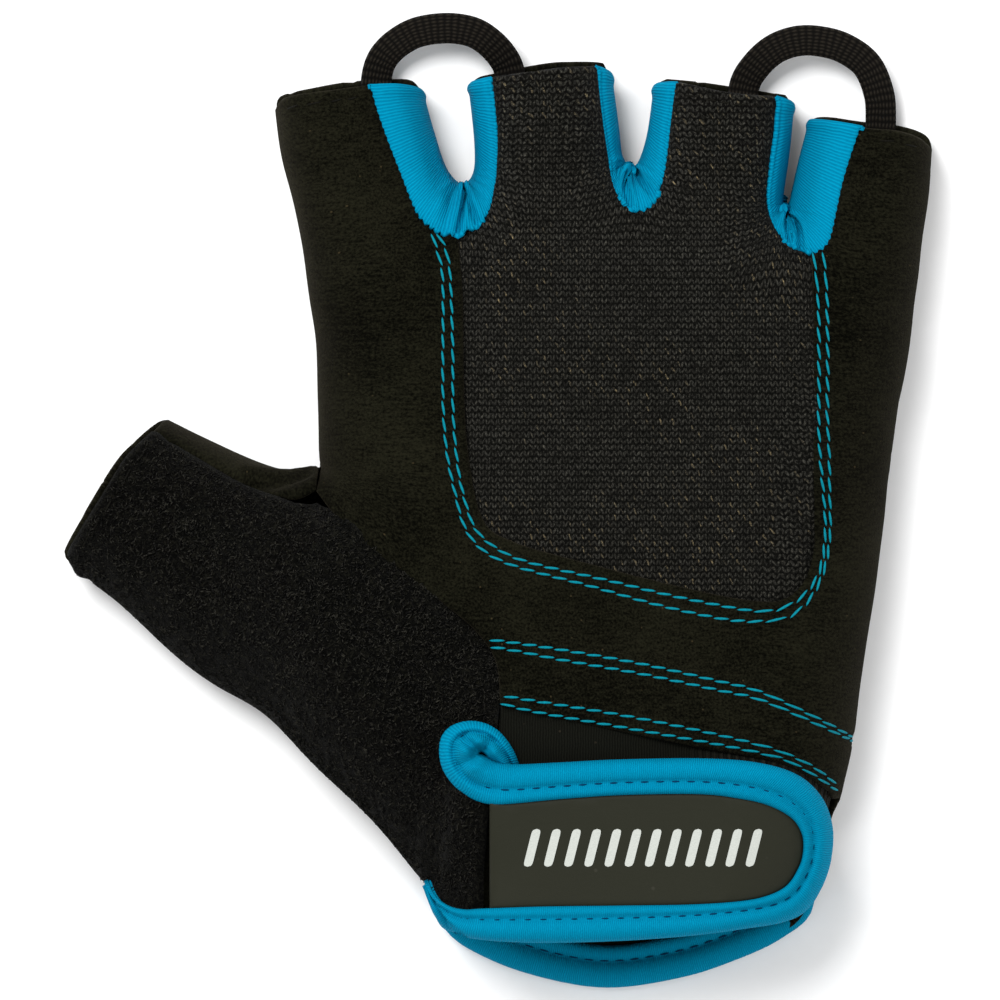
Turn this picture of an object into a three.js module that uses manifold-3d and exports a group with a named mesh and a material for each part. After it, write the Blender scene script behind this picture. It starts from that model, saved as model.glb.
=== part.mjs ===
// A half-finger weightlifting glove for the right hand, lying on its palm with the back up.
// Lengths are in millimetres. +Y runs to the fingertips, +X to the little finger, +Z up.
// Every cloth panel is cut flat, as from a pattern sheet, and then wrapped over one filled form.
import * as THREE from "three";
import { mergeVertices } from "three/addons/utils/BufferGeometryUtils.js";
import Module from "manifold-3d";

const wasm = await Module();
wasm.setup();

// Overall sizes.
const GLOVE_WIDTH = 147.5; // thumb hem to the little finger's side
const GLOVE_LENGTH = 157.3; // cuff tape to the middle finger's hem
const HAND_HEIGHT = 27; // rest plane to the back of the hand
const FINGER_HEIGHT = 18; // rest plane to the back of a finger
const THUMB_HEIGHT = 20; // rest plane to the top of the thumb
const CUFF_HEIGHT = 25; // rest plane to the back of the wrist

// Walls.
const SUEDE = 1.2;
const KNIT = 1.4;
const LYCRA = 1.0;
const TERRY = 2.0;
const ELASTIC = 1.8;

// Strap, patch, tapes and loops.
const STRAP_THICKNESS = 2.2;
const PATCH_THICKNESS = 1.2;
const TAPE_THICKNESS = 1.0;
const CUFF_TAPE_WIDTH = 6.6;
const CUFF_TAPE_OUT = 0.3; // how far its fold stands past the palm's hem, of its width
const CUFF_TAPE_CLEAR = 0.4; // how far the palm's hem stays off its fold, of its width
const CUFF_TAPE_SKIP = { thumb: 3, little: 2 }; // rings left out at the tape's two ends
const CURL_THICKNESS = 4.4;
const WEBBING_WIDTH = 5.4;
const WEBBING_THICKNESS = 1.5;
const WEBBING_RISE = 2.6; // how far a loop's middle stands above its ends

// A folded tape's section.
const FOLD_DEPTH = 0.8; // how deep the fold's inside is, of the clear width
const FOLD_BEND = 0.5; // where its outside starts to bend, of that depth
const FOLD_CORNER = 0.15; // where the bend has its corner, of that depth
const FOLD_CORNER_UP = 0.55; // how high that corner is over the middle, of half the tape's height
const FOLD_INSIDE = 0.6; // where the fold's inside has its corner, of that depth

// Clearances and steps.
const SEAM_GAP = 0.36; // between two panels that are sewn together
const LAYER_GAP = 0.65; // between two layers that lie on each other
const HEM_STEP = 1.4; // how far a finger's palm hem stands past its back hem
const EDGE_STEP = 3.8; // between points along an edge
const TAPE_STEP = 2.7; // between two rings of a tape
const SIDE_SIZE = 4.6; // triangle size where a panel curves down to the side
const FLAT_SIZE = 9; // triangle size where a panel is nearly flat
const PALM_SIZE = 18; // triangle size on the palm, which is flat
const LAYER_SIZE = 3.3; // triangle size at the wrist, where layers lie on each other
const LAYERS_TOP = 0.29; // they lie below this y
const BEND_FLAT = 0.6; // share of the back's roll from which its triangles grow
const PALM_CURVED = 1.5; // how far in the palm has small triangles, of its roll
const TOO_LONG = 1.25; // an edge longer than this many sizes is split

// The outlines lie on a sheet. x is a share of its width from its middle line, and y a share
// of its length from its lower edge. The glove fills these shares of the sheet.
const SHEET_WIDTH = GLOVE_WIDTH / 0.87;
const SHEET_LENGTH = GLOVE_LENGTH / 0.928;

// The sides of the filled form, each from its first hem: x, y.
const INDEX_SIDE = [
  [-0.225, 0.893], [-0.218, 0.845], [-0.205, 0.792], [-0.193, 0.72],
  [-0.185, 0.66], [-0.183, 0.6], [-0.181, 0.533],
];
const THUMB_TOP = [
  [-0.181, 0.533], [-0.215, 0.531], [-0.255, 0.544], [-0.3, 0.564], [-0.335, 0.582],
];
const THUMB_SIDE = [
  [-0.425, 0.431], [-0.385, 0.4], [-0.335, 0.359], [-0.285, 0.318],
  [-0.232, 0.281], [-0.18, 0.23], [-0.12, 0.172], [-0.072, 0.115],
];
const LITTLE_SIDE = [
  [0.434, 0.853], [0.43, 0.805], [0.421, 0.745], [0.41, 0.66], [0.399, 0.588],
  [0.387, 0.5], [0.375, 0.42], [0.362, 0.325], [0.354, 0.264], [0.342, 0.2],
];
const CUFF_SIDE = [[0.342, 0.2], [0.332, 0.178], [0.324, 0.135], [0.304, 0.083]];
const INDEX_MIDDLE_GAP = [
  [-0.078, 0.91], [-0.067, 0.87], [-0.054, 0.832], [-0.038, 0.816],
  [-0.026, 0.828], [-0.025, 0.86], [-0.031, 0.917],
];
const MIDDLE_RING_GAP = [
  [0.11, 0.925], [0.117, 0.875], [0.121, 0.842], [0.13, 0.83],
  [0.14, 0.84], [0.149, 0.87], [0.155, 0.916],
];
const RING_LITTLE_GAP = [
  [0.293, 0.897], [0.288, 0.845], [0.282, 0.8], [0.286, 0.788],
  [0.291, 0.8], [0.3, 0.84], [0.311, 0.882],
];
const WRIST_TAILS = { thumb: [-0.062, 0], little: [0.28, 0] }; // where the wrist's sides run on to

// Palm-side hems, each in two or three runs that meet at a seam: x, y.
const INDEX_HEM = [[-0.225, 0.893], [-0.22, 0.903], [-0.2, 0.911], [-0.16, 0.919], [-0.13, 0.922]];
const INDEX_GUSSET_HEM = [[-0.13, 0.922], [-0.095, 0.92], [-0.078, 0.91]];
const MIDDLE_INNER_HEM = [[-0.031, 0.917], [-0.013, 0.926]];
const MIDDLE_HEM = [[-0.013, 0.926], [0.02, 0.934], [0.06, 0.94], [0.1, 0.938]];
const MIDDLE_OUTER_HEM = [[0.1, 0.938], [0.11, 0.925]];
const RING_INNER_HEM = [[0.155, 0.916], [0.174, 0.922]];
const RING_HEM = [[0.174, 0.922], [0.2, 0.92], [0.24, 0.914], [0.281, 0.907]];
const RING_OUTER_HEM = [[0.281, 0.907], [0.293, 0.897]];
const LITTLE_GUSSET_HEM = [[0.311, 0.882], [0.338, 0.883], [0.363, 0.88]];
const LITTLE_HEM = [[0.363, 0.88], [0.399, 0.876], [0.424, 0.865], [0.434, 0.853]];
const THUMB_HEM = [
  [-0.425, 0.431], [-0.435, 0.445], [-0.43, 0.462], [-0.41, 0.5], [-0.38, 0.546], [-0.35, 0.57],
];
const THUMB_STRIP_HEM = [[-0.35, 0.57], [-0.335, 0.582]];

// Seams on the back of the glove: x, y.
const INDEX_SEAM = [
  [-0.13, 0.922], [-0.117, 0.88], [-0.098, 0.83], [-0.08, 0.787], [-0.06, 0.77], [-0.042, 0.766],
];
const MIDDLE_INNER_SEAM = [
  [-0.042, 0.766], [-0.02, 0.779], [-0.009, 0.805], [-0.006, 0.85], [-0.009, 0.89], [-0.013, 0.926],
];
const MIDDLE_RING_SEAM = [
  [0.1, 0.938], [0.104, 0.895], [0.11, 0.85], [0.118, 0.81], [0.135, 0.792],
  [0.152, 0.8], [0.16, 0.825], [0.167, 0.88], [0.174, 0.922],
];
const RING_OUTER_SEAM = [
  [0.281, 0.907], [0.28, 0.87], [0.275, 0.835], [0.271, 0.795], [0.282, 0.762], [0.31, 0.747],
];
const LITTLE_SEAM = [
  [0.31, 0.747], [0.326, 0.757], [0.333, 0.785], [0.342, 0.825], [0.356, 0.868], [0.363, 0.88],
];
const MESH_EDGE = [
  [-0.042, 0.766], [-0.037, 0.7], [-0.036, 0.62], [-0.032, 0.55], [-0.018, 0.483],
  [0.012, 0.459], [0.091, 0.436], [0.187, 0.412], [0.25, 0.4], [0.285, 0.402],
  [0.306, 0.425], [0.314, 0.47], [0.314, 0.6], [0.312, 0.7], [0.31, 0.747],
];
const THUMB_SEAM = [[-0.35, 0.57], [-0.3, 0.542], [-0.25, 0.514], [-0.21, 0.503], [-0.184, 0.513]];
const CROTCH_SEAM = [[-0.184, 0.513], [-0.181, 0.533]];
const GUSSET_SEAM = [
  [-0.184, 0.513], [-0.155, 0.477], [-0.115, 0.44], [-0.065, 0.403],
  [-0.025, 0.37], [-0.004, 0.338], [0, 0.296],
];
const SUEDE_EDGE = [[0, 0.296], [0.1, 0.274], [0.2, 0.253], [0.29, 0.234], [0.342, 0.2]];
const TERRY_EDGE = [[0, 0.296], [-0.006, 0.24], [-0.011, 0.17], [-0.011, 0.076]];
const TERRY_HEM = [[-0.072, 0.115], [-0.045, 0.092], [-0.011, 0.076]];
const ELASTIC_HEM = [[-0.011, 0.076], [0.1, 0.068], [0.2, 0.072], [0.304, 0.083]];
const PALM_HEM = [
  [-0.072, 0.115], [-0.053, 0.081], [-0.025, 0.059], [0.03, 0.036], [0.105, 0.022],
  [0.18, 0.032], [0.235, 0.05], [0.28, 0.07], [0.304, 0.083],
];

// The tape round the strap, from the lower left round the strap's end to the upper left:
// x and y of its outer edge, x and y of its inner edge.
const STRAP_TAPE = [
  [-0.06, 0.08, -0.052, 0.104], [-0.02, 0.064, -0.016, 0.093], [0.04, 0.059, 0.042, 0.095],
  [0.12, 0.061, 0.12, 0.096], [0.19, 0.066, 0.185, 0.097], [0.245, 0.073, 0.235, 0.1],
  [0.283, 0.079, 0.264, 0.105], [0.306, 0.09, 0.285, 0.115], [0.322, 0.114, 0.297, 0.132],
  [0.331, 0.142, 0.302, 0.148], [0.332, 0.175, 0.301, 0.167], [0.32, 0.205, 0.29, 0.184],
  [0.295, 0.227, 0.266, 0.197], [0.255, 0.239, 0.235, 0.204], [0.2, 0.243, 0.195, 0.208],
  [0.12, 0.242, 0.12, 0.207], [0.06, 0.239, 0.06, 0.203], [0.018, 0.237, 0.018, 0.199],
  [-0.017, 0.235, -0.017, 0.198],
];
const CORE_EDGE = 0.45; // where the strap ends inside the tape, as a share of the tape's width
const STRAP_MIDDLE = [0.13, 0.15];
const PATCH_LEFT = -0.0105; // where the patch and the strap start, as a share of the sheet's width
const CURL = [
  [0.018, 0.237], [0.013, 0.25], [0.005, 0.262], [-0.005, 0.272], [-0.017, 0.278],
  [-0.03, 0.279], [-0.042, 0.277], [-0.052, 0.272], [-0.058, 0.264], [-0.06, 0.25],
  [-0.057, 0.236], [-0.05, 0.224], [-0.04, 0.213], [-0.025, 0.202], [-0.014, 0.199],
];
const CURL_FOOT = [[-0.014, 0.2255], [0.018, 0.2255]]; // the curl's corners at the strap

// The loops' middle lines: x, y, and the share of WEBBING_RISE at each point.
const INDEX_MIDDLE_LOOP = [
  [-0.123, 0.885, 0], [-0.124, 0.923, 0.1], [-0.114, 0.948, 0.5], [-0.088, 0.967, 0.9],
  [-0.057, 0.973, 1], [-0.03, 0.97, 1], [-0.012, 0.96, 0.9], [0.003, 0.944, 0.5],
  [0.01, 0.927, 0.1], [0.012, 0.895, 0],
];
const RING_LITTLE_LOOP = [
  [0.243, 0.88, 0], [0.245, 0.915, 0.1], [0.257, 0.936, 0.5], [0.275, 0.952, 0.9],
  [0.297, 0.96, 1], [0.32, 0.96, 1], [0.345, 0.953, 0.9], [0.368, 0.936, 0.6],
  [0.38, 0.908, 0.3], [0.382, 0.88, 0.1], [0.38, 0.85, 0],
];

// Sections across the hand from the wrist up: y, how far the height has gone from FINGER_HEIGHT
// to HAND_HEIGHT, and the width over which the back rolls down to the side, of GLOVE_WIDTH.
const SECTIONS = [
  { y: 0, hand: 0.8, roll: 0.095 },
  { y: 0.25, hand: 1, roll: 0.115 },
  { y: 0.5, hand: 1, roll: 0.135 },
  { y: 0.65, hand: 0.85, roll: 0.122 },
  { y: 0.72, hand: 0.6, roll: 0.1 },
  { y: 0.78, hand: 0.25, roll: 0.075 },
  { y: 0.83, hand: 0.05, roll: 0.068 },
  { y: 1, hand: 0, roll: 0.068 },
];
const THUMB_FROM = -0.17; // x where the hand starts to turn into the thumb
const THUMB_TO = -0.3; // x where it is all thumb
const THUMB_ROLL = 0.088; // of GLOVE_WIDTH
const SEAM_LEVEL = 0.27; // the side seam's height, of the height there
const PALM_ROLL = 0.045; // the width over which the palm rolls up to the seam, of GLOVE_WIDTH
const WRIST_LIFT = TAPE_THICKNESS + LAYER_GAP; // the palm's hem rises for the tape under it
const LIFT_FULL = 0.1; // y up to which it is fully raised
const LIFT_END = 0.19; // y where the palm lies flat
const CUFF_FULL = 0.1; // y up to which the back is CUFF_HEIGHT high
const CUFF_END = 0.32; // y where it has its hand height

const onSheet = ([x, y]) => new THREE.Vector2(x * SHEET_WIDTH, (y - 0.5) * SHEET_LENGTH);

// Points along a smooth curve through the rows. Lengths are measured on a line `reach` away,
// so that a tight turn gets more points.
function along(rows, step = EDGE_STEP, reach = 0) {
  const fine = new THREE.SplineCurve(rows.map(onSheet)).getSpacedPoints(160);
  const run = [0];
  for (let i = 1; i < fine.length; i++) {
    const way = fine[i].clone().sub(fine[i - 1]);
    const next = i + 1 < fine.length ? fine[i + 1].clone().sub(fine[i]) : way;
    const turn = Math.abs(Math.atan2(way.cross(next), way.dot(next)));
    run.push(run[i - 1] + way.length() + reach * turn);
  }
  const total = run[run.length - 1];
  const count = Math.max(1, Math.round(total / step));
  const points = [];
  for (let k = 0; k <= count; k++) {
    const goal = (total * k) / count;
    let i = 1;
    while (i < run.length - 1 && run[i] < goal) i++;
    const part = (goal - run[i - 1]) / (run[i] - run[i - 1]);
    points.push(fine[i - 1].clone().lerp(fine[i], THREE.MathUtils.clamp(part, 0, 1)));
  }
  return points;
}

// Runs one curve after another, leaving out the points where they meet.
function chain(...runs) {
  const points = [...runs[0]];
  for (const run of runs.slice(1)) {
    points.push(...run.slice(points[points.length - 1].distanceTo(run[0]) < 1e-6 ? 1 : 0));
  }
  return points;
}

const back = (points) => [...points].reverse();

// Continues a line straight on from its last point.
function runOn(points, length) {
  const last = points[points.length - 1];
  const way = last.clone().sub(points[points.length - 2]).normalize();
  return [...points, last.clone().addScaledVector(way, length)];
}

// The same hem a little nearer the hand, with its two ends kept.
function setBack(points) {
  return points.map((p, i) => {
    const before = points[Math.max(0, i - 1)];
    const after = points[Math.min(points.length - 1, i + 1)];
    const way = after.clone().sub(before).normalize();
    const move = HEM_STEP * Math.sin((Math.PI * i) / (points.length - 1));
    return new THREE.Vector2(p.x + way.y * move, p.y - way.x * move);
  });
}

const GAP_REACH = 5;
const HEM_REACH = 3;
const indexSide = along(INDEX_SIDE);
const thumbTop = along(THUMB_TOP);
const thumbSide = along(THUMB_SIDE);
const littleSide = along(LITTLE_SIDE);
const cuffSide = along(CUFF_SIDE);
const gaps = [INDEX_MIDDLE_GAP, MIDDLE_RING_GAP, RING_LITTLE_GAP].map((rows) =>
  along(rows, EDGE_STEP, GAP_REACH),
);

// The lines that the form's roll is measured from, run on past each hem.
const PAST_HEM = 0.12 * GLOVE_LENGTH;
const formSides = [
  runOn(back(indexSide), PAST_HEM),
  runOn(thumbTop, PAST_HEM),
  [...back(runOn(back(thumbSide), PAST_HEM)), onSheet(WRIST_TAILS.thumb)],
  [...back(runOn(back(chain(littleSide, cuffSide)), PAST_HEM)), onSheet(WRIST_TAILS.little)],
  ...gaps.map((line) => runOn(back(runOn(line, PAST_HEM)), PAST_HEM)),
];

// The distance from a place to the nearest side, and the way from that side to the place.
function fromSide({ x, y }) {
  let nearest = Infinity;
  let away = [0, 0];
  for (const line of formSides) {
    for (let i = 1; i < line.length; i++) {
      const [from, to] = [line[i - 1], line[i]];
      const [wx, wy] = [to.x - from.x, to.y - from.y];
      const t = ((x - from.x) * wx + (y - from.y) * wy) / (wx * wx + wy * wy);
      const part = Math.min(1, Math.max(0, t));
      const [dx, dy] = [x - from.x - part * wx, y - from.y - part * wy];
      if (dx * dx + dy * dy < nearest) {
        nearest = dx * dx + dy * dy;
        away = [dx, dy];
      }
    }
  }
  return { gap: Math.sqrt(nearest), inward: new THREE.Vector2(...away).normalize() };
}

// Height and roll of the form at a place.
function section(place) {
  const y = place.y / SHEET_LENGTH + 0.5;
  const x = place.x / SHEET_WIDTH;
  const i = Math.max(1, SECTIONS.findIndex((row) => row.y >= Math.min(y, 1)));
  const [low, high] = [SECTIONS[i - 1], SECTIONS[i]];
  const part = THREE.MathUtils.smoothstep(y, low.y, high.y);
  const hand = THREE.MathUtils.lerp(low.hand, high.hand, part);
  const cuff = 1 - THREE.MathUtils.smoothstep(y, CUFF_FULL, CUFF_END);
  const handHeight = THREE.MathUtils.lerp(HAND_HEIGHT, CUFF_HEIGHT, cuff);
  const thumb = 1 - THREE.MathUtils.smoothstep(x, THUMB_TO, THUMB_FROM);
  const full = THREE.MathUtils.lerp(FINGER_HEIGHT, handHeight, hand);
  const roll = THREE.MathUtils.lerp(low.roll, high.roll, part);
  const height = THREE.MathUtils.lerp(full, THUMB_HEIGHT, thumb);
  return {
    height,
    seam: height * SEAM_LEVEL,
    roll: THREE.MathUtils.lerp(roll, THUMB_ROLL, thumb) * GLOVE_WIDTH,
    lift: WRIST_LIFT * (1 - THREE.MathUtils.smoothstep(y, LIFT_FULL, LIFT_END)),
  };
}

// The point on the back of the form over a place on the sheet, raised by `lift`.
function onBack(place, lift = 0) {
  const { gap, inward } = fromSide(place);
  const { height, seam, roll } = section(place);
  const turn = (Math.min(1, gap / roll) * Math.PI) / 2;
  const move = roll * (1 - Math.cos(turn)) - Math.min(gap, roll);
  const rise = height - seam;
  const normal = new THREE.Vector2(rise * Math.cos(turn), roll * Math.sin(turn)).normalize();
  const out = move - normal.x * lift;
  return new THREE.Vector3(
    place.x + inward.x * out,
    place.y + inward.y * out,
    seam + rise * Math.sin(turn) + normal.y * lift,
  );
}

// The point on the palm under a place on the sheet, set in by `depth`.
function onPalm(place, depth = 0) {
  const { gap, inward } = fromSide(place);
  const { seam, lift } = section(place);
  const roll = PALM_ROLL * GLOVE_WIDTH;
  const rise = seam - lift;
  const turn = (Math.min(1, gap / roll) * Math.PI) / 2;
  const move = roll * (1 - Math.cos(turn)) - Math.min(gap, roll);
  const normal = new THREE.Vector2(rise * Math.cos(turn), roll * Math.sin(turn)).normalize();
  const out = move + normal.x * depth;
  return new THREE.Vector3(
    place.x + inward.x * out,
    place.y + inward.y * out,
    lift + rise * (1 - Math.sin(turn)) + normal.y * depth,
  );
}

// The place on the sheet that a point seen from above comes from, at the back's surface.
function flatten(seen) {
  const { gap, inward } = fromSide(seen);
  const { roll } = section(seen);
  if (gap < 1e-6 || gap >= roll) return seen.clone();
  const turn = Math.acos(1 - gap / roll);
  return seen.clone().addScaledVector(inward, (2 * roll * turn) / Math.PI - gap);
}

// The place on the sheet under a point that is seen from above on a layer raised by `lift`.
// The search goes from a place a little nearer to `middle`, which is any place inside the layer.
function under(seen, lift, middle) {
  const [nearer, share, rounds] = [0.2, 0.6, 20];
  const place = seen.clone().lerp(middle, nearer);
  for (let i = 0; i < rounds; i++) {
    const there = onBack(place, lift);
    place.x += share * (seen.x - there.x);
    place.y += share * (seen.y - there.y);
  }
  return place;
}

const seam = (rows) => along(rows).map(flatten);

// Moves every point of a closed outline inwards. A sharp corner moves less than a full mitre.
function inset(outline, amount) {
  const sharpest = 0.35;
  const turn = Math.sign(THREE.ShapeUtils.area(outline));
  return outline.map((p, i) => {
    const before = outline[(i + outline.length - 1) % outline.length];
    const after = outline[(i + 1) % outline.length];
    const one = p.clone().sub(before).normalize();
    const two = after.clone().sub(p).normalize();
    const bisector = new THREE.Vector2(-one.y - two.y, one.x + two.x).multiplyScalar(turn);
    const size = Math.max(bisector.lengthSq() / 2, sharpest);
    return p.clone().addScaledVector(bisector, amount / size);
  });
}

// Swaps the diagonal of each pair of triangles whose other diagonal makes rounder ones.
function roundOff(points, faces) {
  const angle = (p, q, r) => {
    const one = points[q].clone().sub(points[p]);
    const two = points[r].clone().sub(points[p]);
    return Math.abs(Math.atan2(one.cross(two), one.dot(two)));
  };
  const area = (p, q, r) => points[q].clone().sub(points[p]).cross(points[r].clone().sub(points[p]));
  const rounds = 40;
  for (let round = 0; round < rounds; round++) {
    const edges = new Map();
    faces.forEach((face, f) => {
      for (let k = 0; k < 3; k++) edges.set(face[k] + " " + face[(k + 1) % 3], f);
    });
    const used = new Set();
    for (const [key, f] of edges) {
      const [a, b] = key.split(" ").map(Number);
      const g = edges.get(b + " " + a);
      if (g === undefined || a > b || used.has(f) || used.has(g)) continue;
      const c = faces[f].find((v) => v !== a && v !== b);
      const d = faces[g].find((v) => v !== a && v !== b);
      if (angle(c, a, b) + angle(d, a, b) <= Math.PI + 1e-6) continue;
      if (area(c, a, d) * area(d, b, c) <= 0) continue;
      faces[f] = [c, a, d];
      faces[g] = [d, b, c];
      used.add(f).add(g);
    }
    if (!used.size) return;
  }
}

// The triangles that fill a flat outline, all turned the way that the outline runs.
function fill(outline) {
  const turn = THREE.ShapeUtils.area(outline);
  return THREE.ShapeUtils.triangulateShape(outline, []).map(([a, b, c]) => {
    const one = outline[b].clone().sub(outline[a]);
    const two = outline[c].clone().sub(outline[a]);
    return one.cross(two) * turn > 0 ? [a, b, c] : [a, c, b];
  });
}

// Triangle size wanted on the back and on the palm.
function backSize(place) {
  if (place.y < (LAYERS_TOP - 0.5) * SHEET_LENGTH) return LAYER_SIZE;
  const bend = fromSide(place).gap / section(place).roll;
  const flat = THREE.MathUtils.smoothstep(bend, BEND_FLAT, 1);
  return THREE.MathUtils.lerp(SIDE_SIZE, FLAT_SIZE, flat);
}
function palmSize(place) {
  if (place.y < (LIFT_FULL - 0.5) * SHEET_LENGTH) return LAYER_SIZE;
  const curved = fromSide(place).gap < PALM_CURVED * PALM_ROLL * GLOVE_WIDTH;
  return curved ? SIDE_SIZE : PALM_SIZE;
}

// Triangles over a flat outline, none much larger than the size wanted where it lies.
function mesh(outline, wanted) {
  const points = THREE.ShapeUtils.area(outline) < 0 ? back(outline) : [...outline];
  const faces = fill(points);
  const passes = 14;
  for (let pass = 0; pass < passes; pass++) {
    roundOff(points, faces);
    const edges = new Map();
    faces.forEach((face, f) => {
      for (let k = 0; k < 3; k++) edges.set(face[k] + " " + face[(k + 1) % 3], f);
    });
    const long = [];
    for (const [key, f] of edges) {
      const [a, b] = key.split(" ").map(Number);
      const g = edges.get(b + " " + a);
      if (g === undefined || a > b) continue;
      const middle = points[a].clone().lerp(points[b], 0.5);
      const over = points[a].distanceTo(points[b]) / wanted(middle);
      if (over > TOO_LONG) long.push({ a, b, f, g, middle, over });
    }
    if (!long.length) break;
    const used = new Set();
    for (const { a, b, f, g, middle } of long.sort((p, q) => q.over - p.over)) {
      if (used.has(f) || used.has(g)) continue;
      const m = points.push(middle) - 1;
      for (const t of [f, g]) {
        const face = faces[t];
        faces[t] = face.map((v) => (v === a ? m : v));
        faces.push(face.map((v) => (v === b ? m : v)));
        used.add(t);
      }
    }
  }
  return { points, faces, rim: outline.length };
}

// A closed solid between two sheets over the same flat outline.
function between(flat, upper, lower) {
  const { points, faces, rim } = flat;
  const n = points.length;
  const position = [...points.map(upper), ...points.map(lower)].flatMap((p) => p.toArray());
  const index = [];
  for (const [a, b, c] of faces) index.push(a, b, c, n + a, n + c, n + b);
  for (let i = 0; i < rim; i++) {
    const j = (i + 1) % rim;
    index.push(i, n + i, n + j, i, n + j, j);
  }
  const geometry = new THREE.BufferGeometry();
  geometry.setAttribute("position", new THREE.Float32BufferAttribute(position, 3));
  geometry.setIndex(index);
  geometry.computeVertexNormals();
  return geometry;
}

// A panel of the back: its outer face raised by `lift` over the form, its wall below that.
function backPanel(outline, wall, lift = 0) {
  const flat = mesh(inset(outline, SEAM_GAP / 2), backSize);
  return between(flat, (p) => onBack(p, lift), (p) => onBack(p, lift - wall));
}

// A section swept along a line: each ring is a list of points, and both ends are closed.
function closedSweep(rings, endFaces) {
  const n = rings[0].length;
  const last = (rings.length - 1) * n;
  const position = rings.flat().flatMap((p) => p.toArray());
  const index = [];
  for (let i = 0; i < last; i += n) {
    for (let k = 0; k < n; k++) {
      const [a, b] = [i + k, i + ((k + 1) % n)];
      index.push(a, b, b + n, a, b + n, a + n);
    }
  }
  for (const [a, b, c] of endFaces) index.push(a, c, b, last + a, last + b, last + c);
  const geometry = new THREE.BufferGeometry();
  geometry.setAttribute("position", new THREE.Float32BufferAttribute(position, 3));
  geometry.setIndex(index);
  geometry.computeVertexNormals();
  return geometry;
}

// A tape folded round an edge, as a closed section. x runs in from the fold, up to `width`, and
// y up from the layer under it. The fold's inside is clear of the core from `clear` of the width.
function foldedTape(width, core, clear) {
  const t = TAPE_THICKNESS;
  const half = core / 2 + t + LAYER_GAP;
  const turn = FOLD_DEPTH * clear * width;
  const bend = FOLD_BEND * turn;
  const corner = FOLD_CORNER * turn;
  const cornerUp = FOLD_CORNER_UP * half;
  return [
    [width, 2 * half], [bend, 2 * half], [corner, half + cornerUp], [0, half],
    [corner, half - cornerUp], [bend, 0], [width, 0], [width, t],
    [turn, t], [FOLD_INSIDE * turn, half], [turn, 2 * half - t], [width, 2 * half - t],
  ].map(([across, up]) => new THREE.Vector2(across, up));
}

// The tape's section laid along a line on the sheet, with its fold on the line.
function tapeAlong(line, profile, place) {
  const faces = fill(profile);
  const rings = line.map((p, i) => {
    const before = line[Math.max(0, i - 1)];
    const after = line[Math.min(line.length - 1, i + 1)];
    const way = after.clone().sub(before).normalize();
    return profile.map(({ x, y }) =>
      place(new THREE.Vector2(p.x - way.y * x, p.y + way.x * x), y),
    );
  });
  return closedSweep(rings, faces);
}

// A flat webbing loop whose ends lie on the palm inside two fingers.
function webbingLoop(rows) {
  const path = new THREE.CatmullRomCurve3(
    rows.map(([x, y, rise]) => {
      const p = onSheet([x, y]);
      const rest = SUEDE + LAYER_GAP + WEBBING_THICKNESS / 2;
      return new THREE.Vector3(p.x, p.y, rest + rise * WEBBING_RISE);
    }),
  );
  const count = Math.round(path.getLength() / TAPE_STEP);
  const half = WEBBING_WIDTH / 2;
  const t = WEBBING_THICKNESS / 2;
  const profile = [[-half, -0.5 * t], [-half + t, -t], [half - t, -t], [half, -0.5 * t],
    [half, 0.5 * t], [half - t, t], [-half + t, t], [-half, 0.5 * t]];
  const rings = path.getSpacedPoints(count).map((p, i) => {
    const way = path.getTangentAt(i / count);
    const across = new THREE.Vector3(-way.y, way.x, 0).normalize();
    const up = new THREE.Vector3().crossVectors(way, across);
    return profile.map(([a, b]) => p.clone().addScaledVector(across, a).addScaledVector(up, b));
  });
  const faces = fill(profile.map(([a, b]) => new THREE.Vector2(a, b)));
  return closedSweep(rings, faces);
}

// A closed geometry as a solid, and back.
function toSolid(geometry) {
  const bare = new THREE.BufferGeometry();
  bare.setAttribute("position", geometry.getAttribute("position"));
  bare.setIndex(geometry.index);
  const merged = mergeVertices(bare, 1e-4);
  return new wasm.Manifold(
    new wasm.Mesh({
      numProp: 3,
      vertProperties: merged.attributes.position.array,
      triVerts: new Uint32Array(merged.index.array),
    }),
  );
}

function toGeometry(solid) {
  const { vertProperties, triVerts } = solid.getMesh();
  const geometry = new THREE.BufferGeometry();
  geometry.setAttribute("position", new THREE.Float32BufferAttribute(vertProperties, 3));
  geometry.setIndex(new THREE.BufferAttribute(triVerts, 1));
  geometry.computeVertexNormals();
  return geometry;
}

// A hem made of runs that meet at seams: the same runs on the palm, and set back on the back.
function hemRuns(...rows) {
  const palm = rows.map((run) => along(run, EDGE_STEP, HEM_REACH));
  const whole = setBack(chain(...palm)).map(flatten);
  let start = 0;
  const top = palm.map((run) => {
    const part = whole.slice(start, start + run.length);
    start += run.length - 1;
    return part;
  });
  return { palm, top };
}

const indexHem = hemRuns(INDEX_HEM, INDEX_GUSSET_HEM);
const middleHem = hemRuns(MIDDLE_INNER_HEM, MIDDLE_HEM, MIDDLE_OUTER_HEM);
const ringHem = hemRuns(RING_INNER_HEM, RING_HEM, RING_OUTER_HEM);
const littleHem = hemRuns(LITTLE_GUSSET_HEM, LITTLE_HEM);
const thumbHem = hemRuns(THUMB_HEM, THUMB_STRIP_HEM);

// A seam whose two ends are moved onto the hems that it runs into.
function tie(line, first, last) {
  const points = line.map((p) => p.clone());
  if (first) points[0].copy(first);
  if (last) points[points.length - 1].copy(last);
  return points;
}
const end = (line) => line[line.length - 1];

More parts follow.
